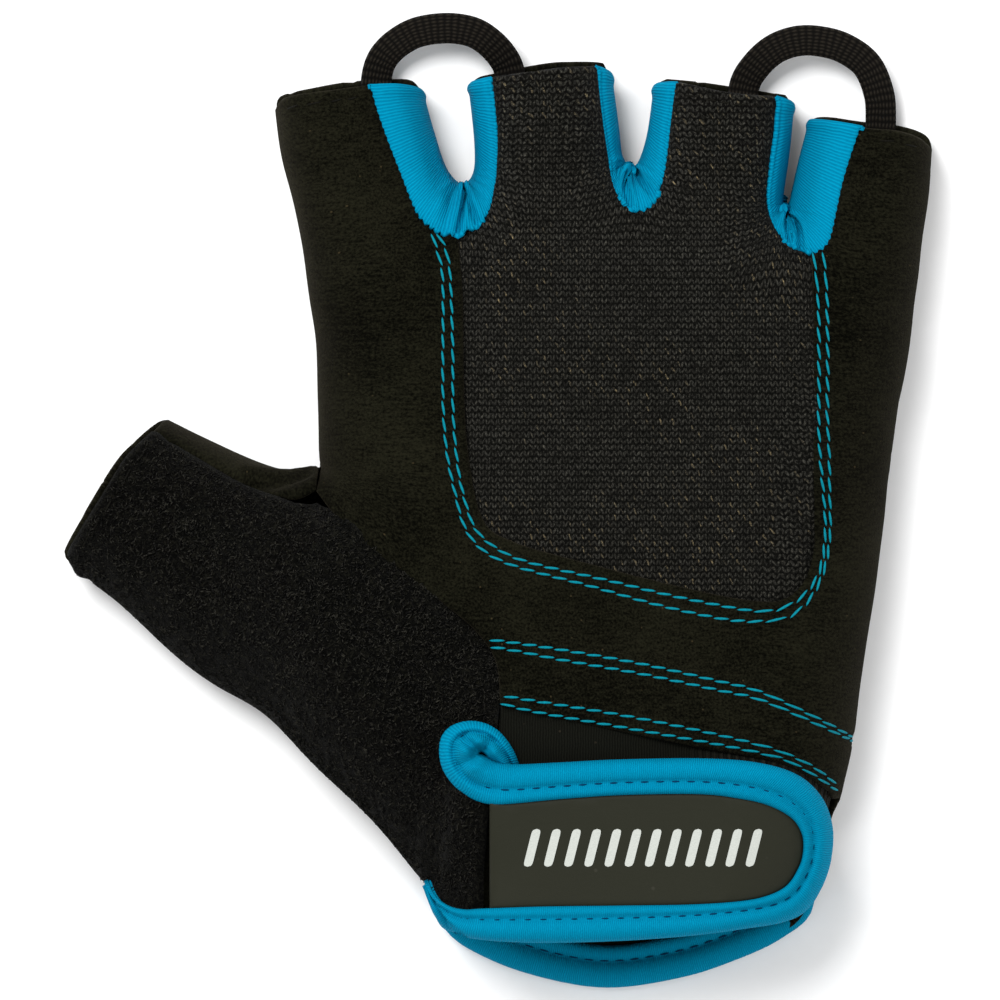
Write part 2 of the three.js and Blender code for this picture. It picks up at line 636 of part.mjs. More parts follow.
const seams = {
  index: tie(seam(INDEX_SEAM), indexHem.top[1][0]),
  middleInner: tie(seam(MIDDLE_INNER_SEAM), null, middleHem.top[1][0]),
  middleRing: tie(seam(MIDDLE_RING_SEAM), middleHem.top[2][0], ringHem.top[1][0]),
  ringOuter: tie(seam(RING_OUTER_SEAM), ringHem.top[2][0]),
  little: tie(seam(LITTLE_SEAM), null, littleHem.top[1][0]),
  mesh: seam(MESH_EDGE),
  thumb: tie(seam(THUMB_SEAM), thumbHem.top[1][0]),
  crotch: seam(CROTCH_SEAM),
  gusset: seam(GUSSET_SEAM),
  suede: seam(SUEDE_EDGE),
  terry: seam(TERRY_EDGE),
  terryHem: seam(TERRY_HEM),
  elasticHem: seam(ELASTIC_HEM),
};

const outlines = {
  suede: chain(
    indexSide, back(seams.crotch), seams.gusset, seams.suede, back(littleSide),
    back(littleHem.top[1]), back(seams.little), back(seams.mesh), back(seams.index),
    back(indexHem.top[0]),
  ),
  knit: chain(
    seams.mesh, back(seams.ringOuter), back(ringHem.top[1]), back(seams.middleRing),
    back(middleHem.top[1]), back(seams.middleInner),
  ),
  indexMiddle: chain(
    gaps[0], middleHem.top[0], back(seams.middleInner), back(seams.index), indexHem.top[1],
  ),
  middleRing: chain(gaps[1], ringHem.top[0], back(seams.middleRing), middleHem.top[2]),
  ringLittle: chain(
    gaps[2], littleHem.top[0], back(seams.little), back(seams.ringOuter), ringHem.top[2],
  ),
  terry: chain(
    thumbSide, seams.terryHem, back(seams.terry), back(seams.gusset), back(seams.thumb),
    back(thumbHem.top[0]),
  ),
  thumbStrip: chain(thumbTop, back(thumbHem.top[1]), seams.thumb, seams.crotch),
  elastic: chain(seams.suede, cuffSide, back(seams.elasticHem), back(seams.terry)),
  palm: chain(
    indexSide, thumbTop, ...thumbHem.palm.map(back).reverse(), thumbSide,
    along(PALM_HEM), back(cuffSide), back(littleSide), ...littleHem.palm.map(back).reverse(),
    back(gaps[2]), ...ringHem.palm.map(back).reverse(),
    back(gaps[1]), ...middleHem.palm.map(back).reverse(),
    back(gaps[0]), ...indexHem.palm.map(back).reverse(),
  ),
};
for (const name of Object.keys(outlines)) {
  const line = outlines[name];
  if (line[0].distanceTo(end(line)) < 1e-6) line.pop();
}

// Strap: a core inside the folded tape, and the patch on it.
const strapLift = LAYER_GAP; // under the tape's lower leg
const coreTop = strapLift + TAPE_THICKNESS + LAYER_GAP + STRAP_THICKNESS;
const patchTop = coreTop + LAYER_GAP + PATCH_THICKNESS;
const strapMiddle = onSheet(STRAP_MIDDLE);
const tapeEdge = (first) => {
  const line = new THREE.SplineCurve(STRAP_TAPE.map((row) => onSheet(row.slice(first, first + 2))));
  const count = Math.round(line.getLength() / TAPE_STEP);
  return (number = count) => line.getPoints(number).map((p) => under(p, coreTop, strapMiddle));
};
const strapOuter = tapeEdge(0)();
const strapInner = tapeEdge(2)(strapOuter.length - 1);
const acrossTape = (i, share) => strapOuter[i].clone().lerp(strapInner[i], share);

// The strap's or the patch's outline: a line at this share of the tape's width, cut off on the left.
const strapLeft = PATCH_LEFT * SHEET_WIDTH;
function insideTape(share, lift) {
  const seenX = (p) => onBack(p, lift).x;
  const kept = strapOuter
    .map((_, i) => acrossTape(i, share))
    .filter((p) => seenX(p) > strapLeft + TAPE_STEP / 2);
  const corner = (p) => under(new THREE.Vector2(strapLeft, onBack(p, lift).y), lift, strapMiddle);
  const [low, high] = [corner(kept[0]), corner(end(kept))];
  const count = Math.round(low.distanceTo(high) / EDGE_STEP);
  const left = [];
  for (let i = 0; i < count; i++) left.push(high.clone().lerp(low, i / count));
  return [...kept, ...left, low];
}
const tapeWidth = strapOuter[0].distanceTo(strapInner[0]);
const strapSection = foldedTape(1, STRAP_THICKNESS, CORE_EDGE);
const coreOutline = insideTape(CORE_EDGE, coreTop);
const patchOutline = insideTape(1 + LAYER_GAP / tapeWidth, patchTop);
const strapTape = closedSweep(
  strapOuter.map((_, i) =>
    strapSection.map(({ x, y }) => onBack(acrossTape(i, x), strapLift + y)),
  ),
  fill(strapSection),
);
const curlOutline = [...along(CURL), ...CURL_FOOT.map(onSheet)];
const curl = between(
  mesh(curlOutline, backSize),
  (p) => onBack(p, strapLift + CURL_THICKNESS),
  (p) => onBack(p, strapLift),
);
const strapBinding = toGeometry(toSolid(strapTape).add(toSolid(curl)));

// Cuff tape: folded round the palm's hem.
const cuffTape = tapeAlong(
  along(PALM_HEM, TAPE_STEP).slice(CUFF_TAPE_SKIP.thumb, -CUFF_TAPE_SKIP.little),
  foldedTape(CUFF_TAPE_WIDTH, SUEDE, CUFF_TAPE_CLEAR).map(({ x, y }) =>
    new THREE.Vector2(x - CUFF_TAPE_OUT * CUFF_TAPE_WIDTH, y - TAPE_THICKNESS - LAYER_GAP),
  ),
  onPalm,
);

const finish = {
  suede: { color: 0x1d1b15, roughness: 0.95, metalness: 0 },
  knit: { color: 0x101010, roughness: 0.9, metalness: 0 },
  lycra: { color: 0x0696d2, roughness: 0.7, metalness: 0 },
  terry: { color: 0x171612, roughness: 1, metalness: 0 },
  elastic: { color: 0x141414, roughness: 0.9, metalness: 0 },
  rubber: { color: 0x4a4b45, roughness: 0.6, metalness: 0 },
  webbing: { color: 0x131313, roughness: 0.85, metalness: 0 },
};

const pieces = [
  ["back_suede", "suede", backPanel(outlines.suede, SUEDE)],
  ["back_mesh", "knit", backPanel(outlines.knit, KNIT)],
  ["fourchette_index_middle", "lycra", backPanel(outlines.indexMiddle, LYCRA)],
  ["fourchette_middle_ring", "lycra", backPanel(outlines.middleRing, LYCRA)],
  ["fourchette_ring_little", "lycra", backPanel(outlines.ringLittle, LYCRA)],
  ["thumb_terry", "terry", backPanel(outlines.terry, TERRY)],
  ["thumb_suede", "suede", backPanel(outlines.thumbStrip, SUEDE)],
  ["cuff_elastic", "elastic", backPanel(outlines.elastic, ELASTIC)],
  ["palm_suede", "suede", between(
    mesh(inset(outlines.palm, SEAM_GAP / 2), palmSize),
    (p) => onPalm(p, SUEDE),
    (p) => onPalm(p),
  )],
  ["strap", "terry", backPanel(coreOutline, STRAP_THICKNESS, coreTop)],
  ["strap_patch", "rubber", backPanel(patchOutline, PATCH_THICKNESS, patchTop)],
  ["strap_binding", "lycra", strapBinding],
  ["cuff_binding", "lycra", cuffTape],
  ["pull_loop_index_middle", "webbing", webbingLoop(INDEX_MIDDLE_LOOP)],
  ["pull_loop_ring_little", "webbing", webbingLoop(RING_LITTLE_LOOP)],
];

// The origin is under the middle of the whole glove, on the plane that it rests on.
const glove = new THREE.Group();
for (const [name, material, geometry] of pieces) {
  const piece = new THREE.Mesh(geometry, new THREE.MeshStandardMaterial(finish[material]));
  piece.name = name;
  glove.add(piece);
}
const box = new THREE.Box3().setFromObject(glove);
const middle = box.getCenter(new THREE.Vector3());
glove.position.set(-middle.x, -middle.y, -box.min.z);

export default glove;
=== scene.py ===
# %% [markdown]
# # A half-finger weightlifting glove, seen on its back
# The real glove is cut from flat cloth: black-brown suede on the palm and most of the back, a
# knit window over the knuckles, blue stretch strips between the fingers, black terry on the
# thumb, and a strap round the wrist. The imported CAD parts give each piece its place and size.
# Here each cloth piece is made again as thin, soft cloth with its seams, folds and stitches.

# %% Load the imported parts
import math
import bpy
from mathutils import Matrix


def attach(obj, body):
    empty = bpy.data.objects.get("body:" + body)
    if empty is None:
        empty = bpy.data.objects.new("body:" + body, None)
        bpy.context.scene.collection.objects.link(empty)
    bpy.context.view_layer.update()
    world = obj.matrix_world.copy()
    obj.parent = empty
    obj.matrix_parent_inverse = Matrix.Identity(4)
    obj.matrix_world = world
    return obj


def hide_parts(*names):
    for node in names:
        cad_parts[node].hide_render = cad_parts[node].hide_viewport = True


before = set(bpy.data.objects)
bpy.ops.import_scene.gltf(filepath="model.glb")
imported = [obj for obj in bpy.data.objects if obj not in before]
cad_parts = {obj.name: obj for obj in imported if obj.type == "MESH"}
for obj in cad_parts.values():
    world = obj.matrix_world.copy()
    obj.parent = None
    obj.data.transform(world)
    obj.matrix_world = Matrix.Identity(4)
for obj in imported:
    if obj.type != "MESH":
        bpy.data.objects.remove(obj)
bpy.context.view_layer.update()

from types import SimpleNamespace

import bmesh
import bpy
import numpy as np
from mathutils import Matrix, Vector

print("nodes:", sorted(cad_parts))

# %% [markdown]
# ## One pattern sheet for all the cloth
# A glove maker draws every panel on a flat sheet, and so does this script. A place on the sheet
# is a share of the glove's width and length, so that the whole pattern follows those two sizes.
# A smooth curve through a few places gives each edge, seam and fold. All sizes are in
# millimetres until a mesh is finished, and then they become metres in the frame of the parts.

# %% Sizes of the glove
MM = 0.001
GLOVE_WIDTH = 147.5
GLOVE_LENGTH = 157.3
SHEET = np.array((GLOVE_WIDTH / 0.87, GLOVE_LENGTH / 0.928))
SHEET_TO_FRAME = np.array((0.325, 0.084, 0.0))
PHOTO_SIDE = 1000.0

HAND_HEIGHT = 27.0
FINGER_HEIGHT = 18.0
THUMB_HEIGHT = 20.0
CUFF_HEIGHT = 25.0
SUEDE_WALL, KNIT_WALL, LYCRA_WALL, TERRY_WALL, ELASTIC_WALL = 1.1, 1.2, 0.8, 1.6, 1.4
print("the sheet measures", SHEET.round(1), "mm")


# %% Places on the sheet and smooth lines through them
def on_sheet(rows):
    """Sheet places in mm. x is a share of the width from the middle, y of the length."""
    return np.array(rows, float)[:, :2] * SHEET - (0, SHEET[1] / 2)


def photo(rows):
    """Sheet places in mm of pixels in the square photograph."""
    u, v = np.array(rows, float).T
    return on_sheet(np.column_stack([u / PHOTO_SIDE - 0.5, 1 - v / PHOTO_SIDE]))


def unit(rows):
    """Each row as a way of length 1."""
    return rows / np.linalg.norm(rows, axis=1)[:, None]


def left_of(ways):
    """The ways turned a quarter to the left."""
    return np.column_stack([-ways[:, 1], ways[:, 0]])


def bell(value, middle, width):
    """1 at the middle, and a soft fall to 0 on both sides."""
    return np.exp(-((value - middle) / width) ** 2)


def fall(gap, width):
    """1 at a gap of 0, and 0 where the gap reaches the width."""
    return (1 - np.minimum(gap / width, 1)) ** 2


def waves(run, pitch):
    """Waves from 0 to 1 along a run."""
    return 0.5 + 0.5 * np.cos(2 * np.pi * run / pitch)


def run_of(line):
    """How far along the line each of its points is."""
    return np.concatenate([[0], np.cumsum(np.linalg.norm(np.diff(line, axis=0), axis=1))])


def spaced(points, step):
    """The same line with a point about every `step`."""
    run = run_of(points)
    count = max(1, round(run[-1] / step))
    goals = np.linspace(0, run[-1], count + 1)
    return np.column_stack([np.interp(goals, run, column) for column in points.T])


def smooth(points, step=1.5):
    """A smooth line through the points, with a point about every `step`."""
    p = np.asarray(points, float)
    spans = len(p) - 1
    t = np.linspace(0, spans, spans * 24 + 1)
    i = np.minimum(t.astype(int), spans - 1)
    u = (t - i)[:, None]
    before, first, second, after = (p[np.clip(i + k, 0, spans)] for k in (-1, 0, 1, 2))
    leave, arrive = (second - before) / 2, (after - first) / 2
    fine = (2 * u**3 - 3 * u**2 + 1) * first + (u**3 - 2 * u**2 + u) * leave
    fine += (3 * u**2 - 2 * u**3) * second + (u**3 - u**2) * arrive
    return spaced(fine, step)


def chain(*runs):
    """One line made of runs that follow each other."""
    line = [runs[0]]
    for run in runs[1:]:
        line.append(run[1:] if np.linalg.norm(line[-1][-1] - run[0]) < 0.01 else run)
    return np.vstack(line)


def seen_line(rows, step=1.5):
    """A smooth line on the sheet through pixels of the photograph."""
    return flatten(smooth(photo(rows), step))


def beside(line, offset):
    """The line moved to the left of its own way, by one offset or by one for each point."""
    return line + left_of(unit(np.gradient(line, axis=0))) * np.reshape(offset, (-1, 1))


def run_on(line, length):
    """The line carried straight on from its last point."""
    way = line[-1] - line[-2]
    return np.vstack([line, line[-1] + way / np.linalg.norm(way) * length])


def nearest(places, line):
    """For each place: distance to the line, way from the line, run along it, the line's own way."""
    start, way = line[:-1], np.diff(line, axis=0)
    size = np.maximum(np.linalg.norm(way, axis=1), 1e-9)
    run = np.concatenate([[0], np.cumsum(size)])
    found = []
    for some in np.array_split(places, len(places) // 2000 + 1):
        t = np.clip(((some[:, None] - start) * way).sum(2) / size**2, 0, 1)
        off = some[:, None] - (start + t[..., None] * way)
        best = (off**2).sum(2).argmin(1)
        row = np.arange(len(some))
        off = off[row, best]
        along = run[best] + t[row, best] * size[best]
        own = way[best] / size[best, None]
        found.append(np.column_stack([np.linalg.norm(off, axis=1), off, along, own]))
    return np.vstack(found)


def distance(places, line):
    return nearest(places, line)[:, 0]


def inside(places, outline):
    """True for each place inside the closed outline."""
    x, y = places.T
    result = np.zeros(len(places), bool)
    for (ax, ay), (bx, by) in zip(outline, np.roll(outline, -1, axis=0)):
        if ay == by:
            continue
        crosses = (ay > y) != (by > y)
        result ^= crosses & (x < ax + (y - ay) * (bx - ax) / (by - ay))
    return result


# %% [markdown]
# ## The form under the cloth
# The glove lies on its palm and holds its shape as if it were softly filled. The back is flat in
# the middle and rolls down in a quarter of an oval to the side seam, and the palm rolls up to
# the same seam. Wrapping flat panels over this one form keeps every seam together, which loose
# hand-made pieces would not.

# %% The sides of the hand, and the three gaps between the fingers
INDEX_SIDE = [
    (-0.225, 0.893), (-0.218, 0.845), (-0.205, 0.792), (-0.193, 0.72),
    (-0.185, 0.66), (-0.183, 0.6), (-0.181, 0.533),
]
THUMB_TOP = [(-0.181, 0.533), (-0.215, 0.531), (-0.255, 0.544), (-0.3, 0.564), (-0.335, 0.582)]
THUMB_SIDE = [
    (-0.425, 0.431), (-0.385, 0.4), (-0.335, 0.359), (-0.285, 0.318),
    (-0.232, 0.281), (-0.18, 0.23), (-0.12, 0.172), (-0.072, 0.115),
]
LITTLE_SIDE = [
    (0.434, 0.853), (0.43, 0.805), (0.421, 0.745), (0.41, 0.66), (0.399, 0.588),
    (0.387, 0.5), (0.375, 0.42), (0.362, 0.325), (0.354, 0.264), (0.342, 0.2),
]
CUFF_SIDE = [(0.342, 0.2), (0.332, 0.178), (0.324, 0.135), (0.304, 0.083)]
INDEX_MIDDLE_GAP = [
    (-0.078, 0.91), (-0.067, 0.87), (-0.054, 0.832), (-0.038, 0.816),
    (-0.026, 0.828), (-0.025, 0.86), (-0.031, 0.917),
]
MIDDLE_RING_GAP = [
    (0.11, 0.925), (0.117, 0.875), (0.121, 0.842), (0.13, 0.83),
    (0.14, 0.84), (0.149, 0.87), (0.155, 0.916),
]
RING_LITTLE_GAP = [
    (0.293, 0.897), (0.288, 0.845), (0.282, 0.8), (0.286, 0.788),
    (0.291, 0.8), (0.3, 0.84), (0.311, 0.882),
]
WRIST_TAILS = [(-0.062, 0), (0.28, 0)]

index_side, thumb_top, thumb_side, little_side, cuff_side = (
    smooth(on_sheet(rows)) for rows in (INDEX_SIDE, THUMB_TOP, THUMB_SIDE, LITTLE_SIDE, CUFF_SIDE)
)
gaps = [smooth(on_sheet(rows), 0.9) for rows in (INDEX_MIDDLE_GAP, MIDDLE_RING_GAP, RING_LITTLE_GAP)]
tails = on_sheet(WRIST_TAILS)

PAST_HEM = 0.12 * GLOVE_LENGTH
wrist_side = run_on(chain(little_side, cuff_side)[::-1], PAST_HEM)
form_sides = [
    run_on(index_side[::-1], PAST_HEM)[::-1],
    run_on(thumb_top, PAST_HEM),
    np.vstack([run_on(thumb_side[::-1], PAST_HEM)[::-1], tails[:1]]),
    np.vstack([tails[1:], wrist_side]),
    *(run_on(run_on(gap, PAST_HEM)[::-1], PAST_HEM) for gap in gaps),
]
print(sum(len(side) for side in form_sides), "points along the sides")

# %% Sections across the hand, from the wrist up
SECTION_Y = (0, 0.25, 0.5, 0.65, 0.72, 0.78, 0.83, 1)
SECTION_HAND = (0.8, 1, 1, 0.85, 0.6, 0.25, 0.05, 0)
SECTION_ROLL = (0.095, 0.115, 0.135, 0.122, 0.1, 0.075, 0.068, 0.068)
THUMB_FROM, THUMB_TO, THUMB_ROLL = -0.17, -0.3, 0.088
SEAM_LEVEL = 0.27
PALM_ROLL = 0.045
WRIST_LIFT = 1.65
LIFT_FULL, LIFT_END = 0.1, 0.19
CUFF_FULL, CUFF_END = 0.1, 0.32


def ease(value, start, end):
    """0 before start, 1 after end, and a smooth step between them."""
    t = np.clip((value - start) / (end - start), 0, 1)
    return t * t * (3 - 2 * t)


def mix(a, b, share):
    return a + (b - a) * share


AT_SIDE, JUST_OUTSIDE = 0.4, 3.0


def from_side(places):
    """The distance to the nearest side of the form, and the way inward from it.

    Every side runs with the glove on its left, which gives the way right on the side.
    """
    rows = [nearest(places, side) for side in form_sides]
    best = np.argmin([row[:, 0] for row in rows], axis=0)
    chosen = np.array(rows)[best, np.arange(len(places))]
    gap = chosen[:, 0]
    left = left_of(chosen[:, 4:])
    inward = chosen[:, 1:3] / np.maximum(gap, 1e-9)[:, None]
    outside = (inward * left).sum(1) < 0
    at_side = (gap < AT_SIDE)[:, None]
    return np.where(outside & (gap < JUST_OUTSIDE), 0, gap), np.where(at_side, left, inward)


def section(places):
    """Height, seam level, roll and lift of the form at each place."""
    x, y = (places / SHEET + (0, 0.5)).T
    rows = np.array(SECTION_Y)
    i = np.clip(np.searchsorted(rows, y), 1, len(rows) - 1)
    part = ease(y, rows[i - 1], rows[i])
    hand = mix(np.array(SECTION_HAND)[i - 1], np.array(SECTION_HAND)[i], part)
    roll = mix(np.array(SECTION_ROLL)[i - 1], np.array(SECTION_ROLL)[i], part)
    thumb = 1 - ease(x, THUMB_TO, THUMB_FROM)
    hand_height = mix(HAND_HEIGHT, CUFF_HEIGHT, 1 - ease(y, CUFF_FULL, CUFF_END))
    height = mix(mix(FINGER_HEIGHT, hand_height, hand), THUMB_HEIGHT, thumb)
    return SimpleNamespace(
        height=height, seam=height * SEAM_LEVEL, roll=mix(roll, THUMB_ROLL, thumb) * GLOVE_WIDTH,
        lift=WRIST_LIFT * (1 - ease(y, LIFT_FULL, LIFT_END)),
    )


def wrapped(places, lift, form, roll, rise):
    """Points over the sheet places, moved along the surface's own upright by `lift`."""
    gap, inward = from_side(places)
    turn = np.minimum(1, gap / roll) * np.pi / 2
    tilt = np.column_stack([np.abs(rise) * np.cos(turn), np.sign(rise) * roll * np.sin(turn)])
    out, up = unit(tilt).T * lift
    move = roll * (1 - np.cos(turn)) - np.minimum(gap, roll) - out
    return np.column_stack([places + inward * move[:, None], form.seam + rise * np.sin(turn) + up])


def on_back(places, lift=0.0):
    """Points on the back of the form, raised by `lift`."""
    form = section(places)
    return wrapped(places, lift, form, form.roll, form.height - form.seam)


def on_palm(places, lift=0.0):
    """Points on the palm side of the form, moved outward by `lift`."""
    form = section(places)
    return wrapped(places, lift, form, PALM_ROLL * GLOVE_WIDTH, form.lift - form.seam)


def flatten(seen):
    """The sheet places whose points on the back are seen from above at these places."""
    gap, inward = from_side(seen)
    roll = section(seen).roll
    turn = np.arccos(np.clip(1 - gap / roll, 0, 1))
    move = np.where(gap < roll, 2 * roll * turn / np.pi - gap, 0)
    return seen + inward * move[:, None]


def to_frame(points):
    """Sheet millimetres to metres in the frame of the parts."""
    return (points + SHEET_TO_FRAME) * MM


# %% [markdown]
# ## Hems and seams
# The hems are the open ends of the fingers, the thumb and the wrist. Seams are where two panels
# meet. They were read from above, so they are flattened on to the sheet before a panel is cut.

# %% Hems
INDEX_HEM = [(-0.225, 0.893), (-0.22, 0.903), (-0.2, 0.911), (-0.16, 0.919), (-0.13, 0.922)]
INDEX_GUSSET_HEM = [(-0.13, 0.922), (-0.095, 0.92), (-0.078, 0.91)]
MIDDLE_INNER_HEM = [(-0.031, 0.917), (-0.013, 0.926)]
MIDDLE_HEM = [(-0.013, 0.926), (0.02, 0.934), (0.06, 0.94), (0.1, 0.938)]
MIDDLE_OUTER_HEM = [(0.1, 0.938), (0.11, 0.925)]
RING_INNER_HEM = [(0.155, 0.916), (0.174, 0.922)]
RING_HEM = [(0.174, 0.922), (0.2, 0.92), (0.24, 0.914), (0.281, 0.907)]
RING_OUTER_HEM = [(0.281, 0.907), (0.293, 0.897)]
LITTLE_GUSSET_HEM = [(0.311, 0.882), (0.338, 0.883), (0.363, 0.88)]
LITTLE_HEM = [(0.363, 0.88), (0.399, 0.876), (0.424, 0.865), (0.434, 0.853)]
THUMB_HEM = [
    (-0.425, 0.431), (-0.435, 0.445), (-0.43, 0.462), (-0.41, 0.5), (-0.38, 0.546), (-0.35, 0.57),
]
THUMB_STRIP_HEM = [(-0.35, 0.57), (-0.335, 0.582)]
PALM_HEM = [
    (-0.072, 0.115), (-0.053, 0.081), (-0.025, 0.059), (0.03, 0.036), (0.105, 0.022),
    (0.18, 0.032), (0.235, 0.05), (0.28, 0.07), (0.304, 0.083),
]
HEM_STEP = 1.4


def backwards(runs):
    """The same runs in reverse, each with its points in reverse."""
    return [run[::-1] for run in reversed(runs)]


def hem_runs(*rows):
    """A hem's runs on the palm, and the same runs a little nearer the hand on the back."""
    palm = [smooth(on_sheet(run), 1.0) for run in rows]
    whole = chain(*palm)
    top = flatten(beside(whole, -HEM_STEP * np.sin(np.linspace(0, np.pi, len(whole)))))
    cuts = np.cumsum([0] + [len(run) - 1 for run in palm])
    return palm, [top[a:b + 1] for a, b in zip(cuts, cuts[1:])]


index_palm, index_hem = hem_runs(INDEX_HEM, INDEX_GUSSET_HEM)
middle_palm, middle_hem = hem_runs(MIDDLE_INNER_HEM, MIDDLE_HEM, MIDDLE_OUTER_HEM)
ring_palm, ring_hem = hem_runs(RING_INNER_HEM, RING_HEM, RING_OUTER_HEM)
little_palm, little_hem = hem_runs(LITTLE_GUSSET_HEM, LITTLE_HEM)
thumb_palm, thumb_hem = hem_runs(THUMB_HEM, THUMB_STRIP_HEM)
palm_hem = smooth(on_sheet(PALM_HEM))

# %% Seams on the back
def seam(rows, first=None, last=None):
    """A seam on the sheet. Its ends may be tied to the hems that it runs into."""
    line = flatten(smooth(on_sheet(rows), 1.0))
    if first is not None:
        line[0] = first
    if last is not None:
        line[-1] = last
    return line


index_seam = seam([
    (-0.13, 0.922), (-0.117, 0.88), (-0.098, 0.83), (-0.08, 0.787), (-0.06, 0.77), (-0.042, 0.766),
], first=index_hem[1][0])
middle_inner_seam = seam([
    (-0.042, 0.766), (-0.02, 0.779), (-0.009, 0.805), (-0.006, 0.85), (-0.009, 0.89), (-0.013, 0.926),
], last=middle_hem[1][0])
middle_ring_seam = seam([
    (0.1, 0.938), (0.104, 0.895), (0.11, 0.85), (0.118, 0.81), (0.135, 0.792),
    (0.152, 0.8), (0.16, 0.825), (0.167, 0.88), (0.174, 0.922),
], middle_hem[2][0], ring_hem[1][0])
ring_outer_seam = seam([
    (0.281, 0.907), (0.28, 0.87), (0.275, 0.835), (0.271, 0.795), (0.282, 0.762), (0.31, 0.747),
], first=ring_hem[2][0])
little_seam = seam([
    (0.31, 0.747), (0.326, 0.757), (0.333, 0.785), (0.342, 0.825), (0.356, 0.868), (0.363, 0.88),
], last=little_hem[1][0])
mesh_edge = seam([
    (-0.042, 0.766), (-0.037, 0.7), (-0.036, 0.62), (-0.032, 0.55), (-0.018, 0.483),
    (0.012, 0.459), (0.091, 0.436), (0.187, 0.412), (0.25, 0.4), (0.285, 0.402),
    (0.306, 0.425), (0.314, 0.47), (0.314, 0.6), (0.312, 0.7), (0.31, 0.747),
])
thumb_seam = seam([
    (-0.35, 0.57), (-0.3, 0.542), (-0.25, 0.514), (-0.21, 0.503), (-0.184, 0.513),
], first=thumb_hem[1][0])
crotch_seam = seam([(-0.184, 0.513), (-0.181, 0.533)])
gusset_seam = seam([
    (-0.184, 0.513), (-0.155, 0.477), (-0.115, 0.44), (-0.065, 0.403),
    (-0.025, 0.37), (-0.004, 0.338), (0, 0.296),
])
suede_edge = seam([(0, 0.296), (0.1, 0.274), (0.2, 0.253), (0.29, 0.234), (0.342, 0.2)])
terry_edge = seam([(0, 0.296), (-0.006, 0.24), (-0.011, 0.17), (-0.011, 0.076)])
terry_hem = seam([(-0.072, 0.115), (-0.045, 0.092), (-0.011, 0.076)])
elastic_hem = seam([(-0.011, 0.076), (0.1, 0.068), (0.2, 0.072), (0.304, 0.083)])

# %% [markdown]
# ## Cutting and wrapping a panel
# A panel starts as one flat face with the pattern's outline. Two thin insets give it a fine rim,
# so that the cut edge can be rounded. Then straight cuts in both directions, as a pastry cutter
# would make, divide it into small squares that can bend. Its points are moved on to the form,
# and a Solidify modifier gives the wall, so the inside of the glove is real too.

# %% Cut a flat panel
RIM_WIDTHS = (0.35, 0.45)
CLOSE_SHARE = 0.12


def cut_panel(outline, pitch):
    """A flat bmesh with the outline, a fine rim and square cells of `pitch`."""
    if np.linalg.norm(outline[0] - outline[-1]) < 0.01:
        outline = outline[:-1]
    bm = bmesh.new()
    face = bm.faces.new([bm.verts.new((x, y, 0)) for x, y in outline])
    face.normal_update()
    if face.normal.z < 0:
        bmesh.ops.reverse_faces(bm, faces=[face])
    for width in RIM_WIDTHS:
        bmesh.ops.inset_region(bm, faces=[face], thickness=width, use_even_offset=False,
                               use_boundary=True)
    low, high = outline.min(0), outline.max(0)
    for axis in (0, 1):
        across = tuple(float(k == axis) for k in range(3))
        for at in np.arange(low[axis] + pitch / 2, high[axis], pitch):
            everything = bm.verts[:] + bm.edges[:] + bm.faces[:]
            bmesh.ops.bisect_plane(bm, geom=everything, dist=1e-4, plane_no=across,
                                   plane_co=[at * part for part in across])
    bmesh.ops.remove_doubles(bm, verts=bm.verts[:], dist=CLOSE_SHARE * pitch)
    return bm


# %% Soft shapes that are added to a panel's height
def bump_along(places, line, height, width):
    """A soft ridge along a line, or a valley if the height is below 0."""
    return height * bell(distance(places, line), 0, width)


def folded_in(places, line, depth, width):
    """A sharp fold along a line, with soft cloth swelling on both sides of it."""
    far = distance(places, line) / width
    return depth * (0.45 * bell(far, 1.6, 0.8) - np.exp(-far * 1.3))


def ripple(places, size, height, seed):
    """Gentle unevenness with waves about `size` long."""
    ways = np.random.default_rng(seed).uniform(0, 2 * np.pi, (6, 2))
    total = np.zeros(len(places))
    for turn, phase in ways:
        way = np.array((math.cos(turn), math.sin(turn))) * 2 * np.pi / (size * (0.7 + 0.1 * phase))
        total += np.sin(places @ way + phase)
    return height * total / 3


EDGE_WIDTH, EDGE_DROP = 0.8, 0.5


def rounded(places, outline):
    """The edge of the cloth rounded down."""
    return -EDGE_DROP * fall(distance(places, np.vstack([outline, outline[:1]])), EDGE_WIDTH)


# %% Turn a panel into a piece
MM_PER_UV = 100.0


def add_object(name, data):
    """A new object in the scene."""
    made = bpy.data.objects.new(name, data)
    bpy.context.scene.collection.objects.link(made)
    return made


def finish_piece(name, bm, node, material, wall=None, sheet=None):
    """Makes the object: smooth, in the frame, riding on the body and standing for its node."""
    mesh = bpy.data.meshes.new(name)
    bm.to_mesh(mesh)
    bm.free()
    mesh.shade_smooth()
    piece = add_object(name, mesh)
    if sheet is not None:
        layer = mesh.uv_layers.new(name="sheet")
        corner = np.zeros(len(mesh.loops), np.int32)
        mesh.loops.foreach_get("vertex_index", corner)
        layer.data.foreach_set("uv", (sheet[corner] / MM_PER_UV).astype(np.float32).ravel())
    mesh.materials.append(material)
    if wall:
        solid = piece.modifiers.new("wall", "SOLIDIFY")
        solid.thickness = wall * MM
        solid.offset = -1
    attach(piece, "root")
    if node:
        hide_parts(node)
    print(f"{name}: {len(mesh.polygons)} faces")


def places_of(bm):
    return np.array([v.co[:2] for v in bm.verts])


def move_to(bm, points):
    for v, point in zip(bm.verts, to_frame(points)):
        v.co = point


def faces_up(bm, wanted=1):
    """Turns all the faces over if they look away from the wanted side."""
    bm.normal_update()
    facing = sum(f.normal.z * f.calc_area() for f in bm.faces)
    if facing * wanted < 0:
        bmesh.ops.reverse_faces(bm, faces=bm.faces[:])


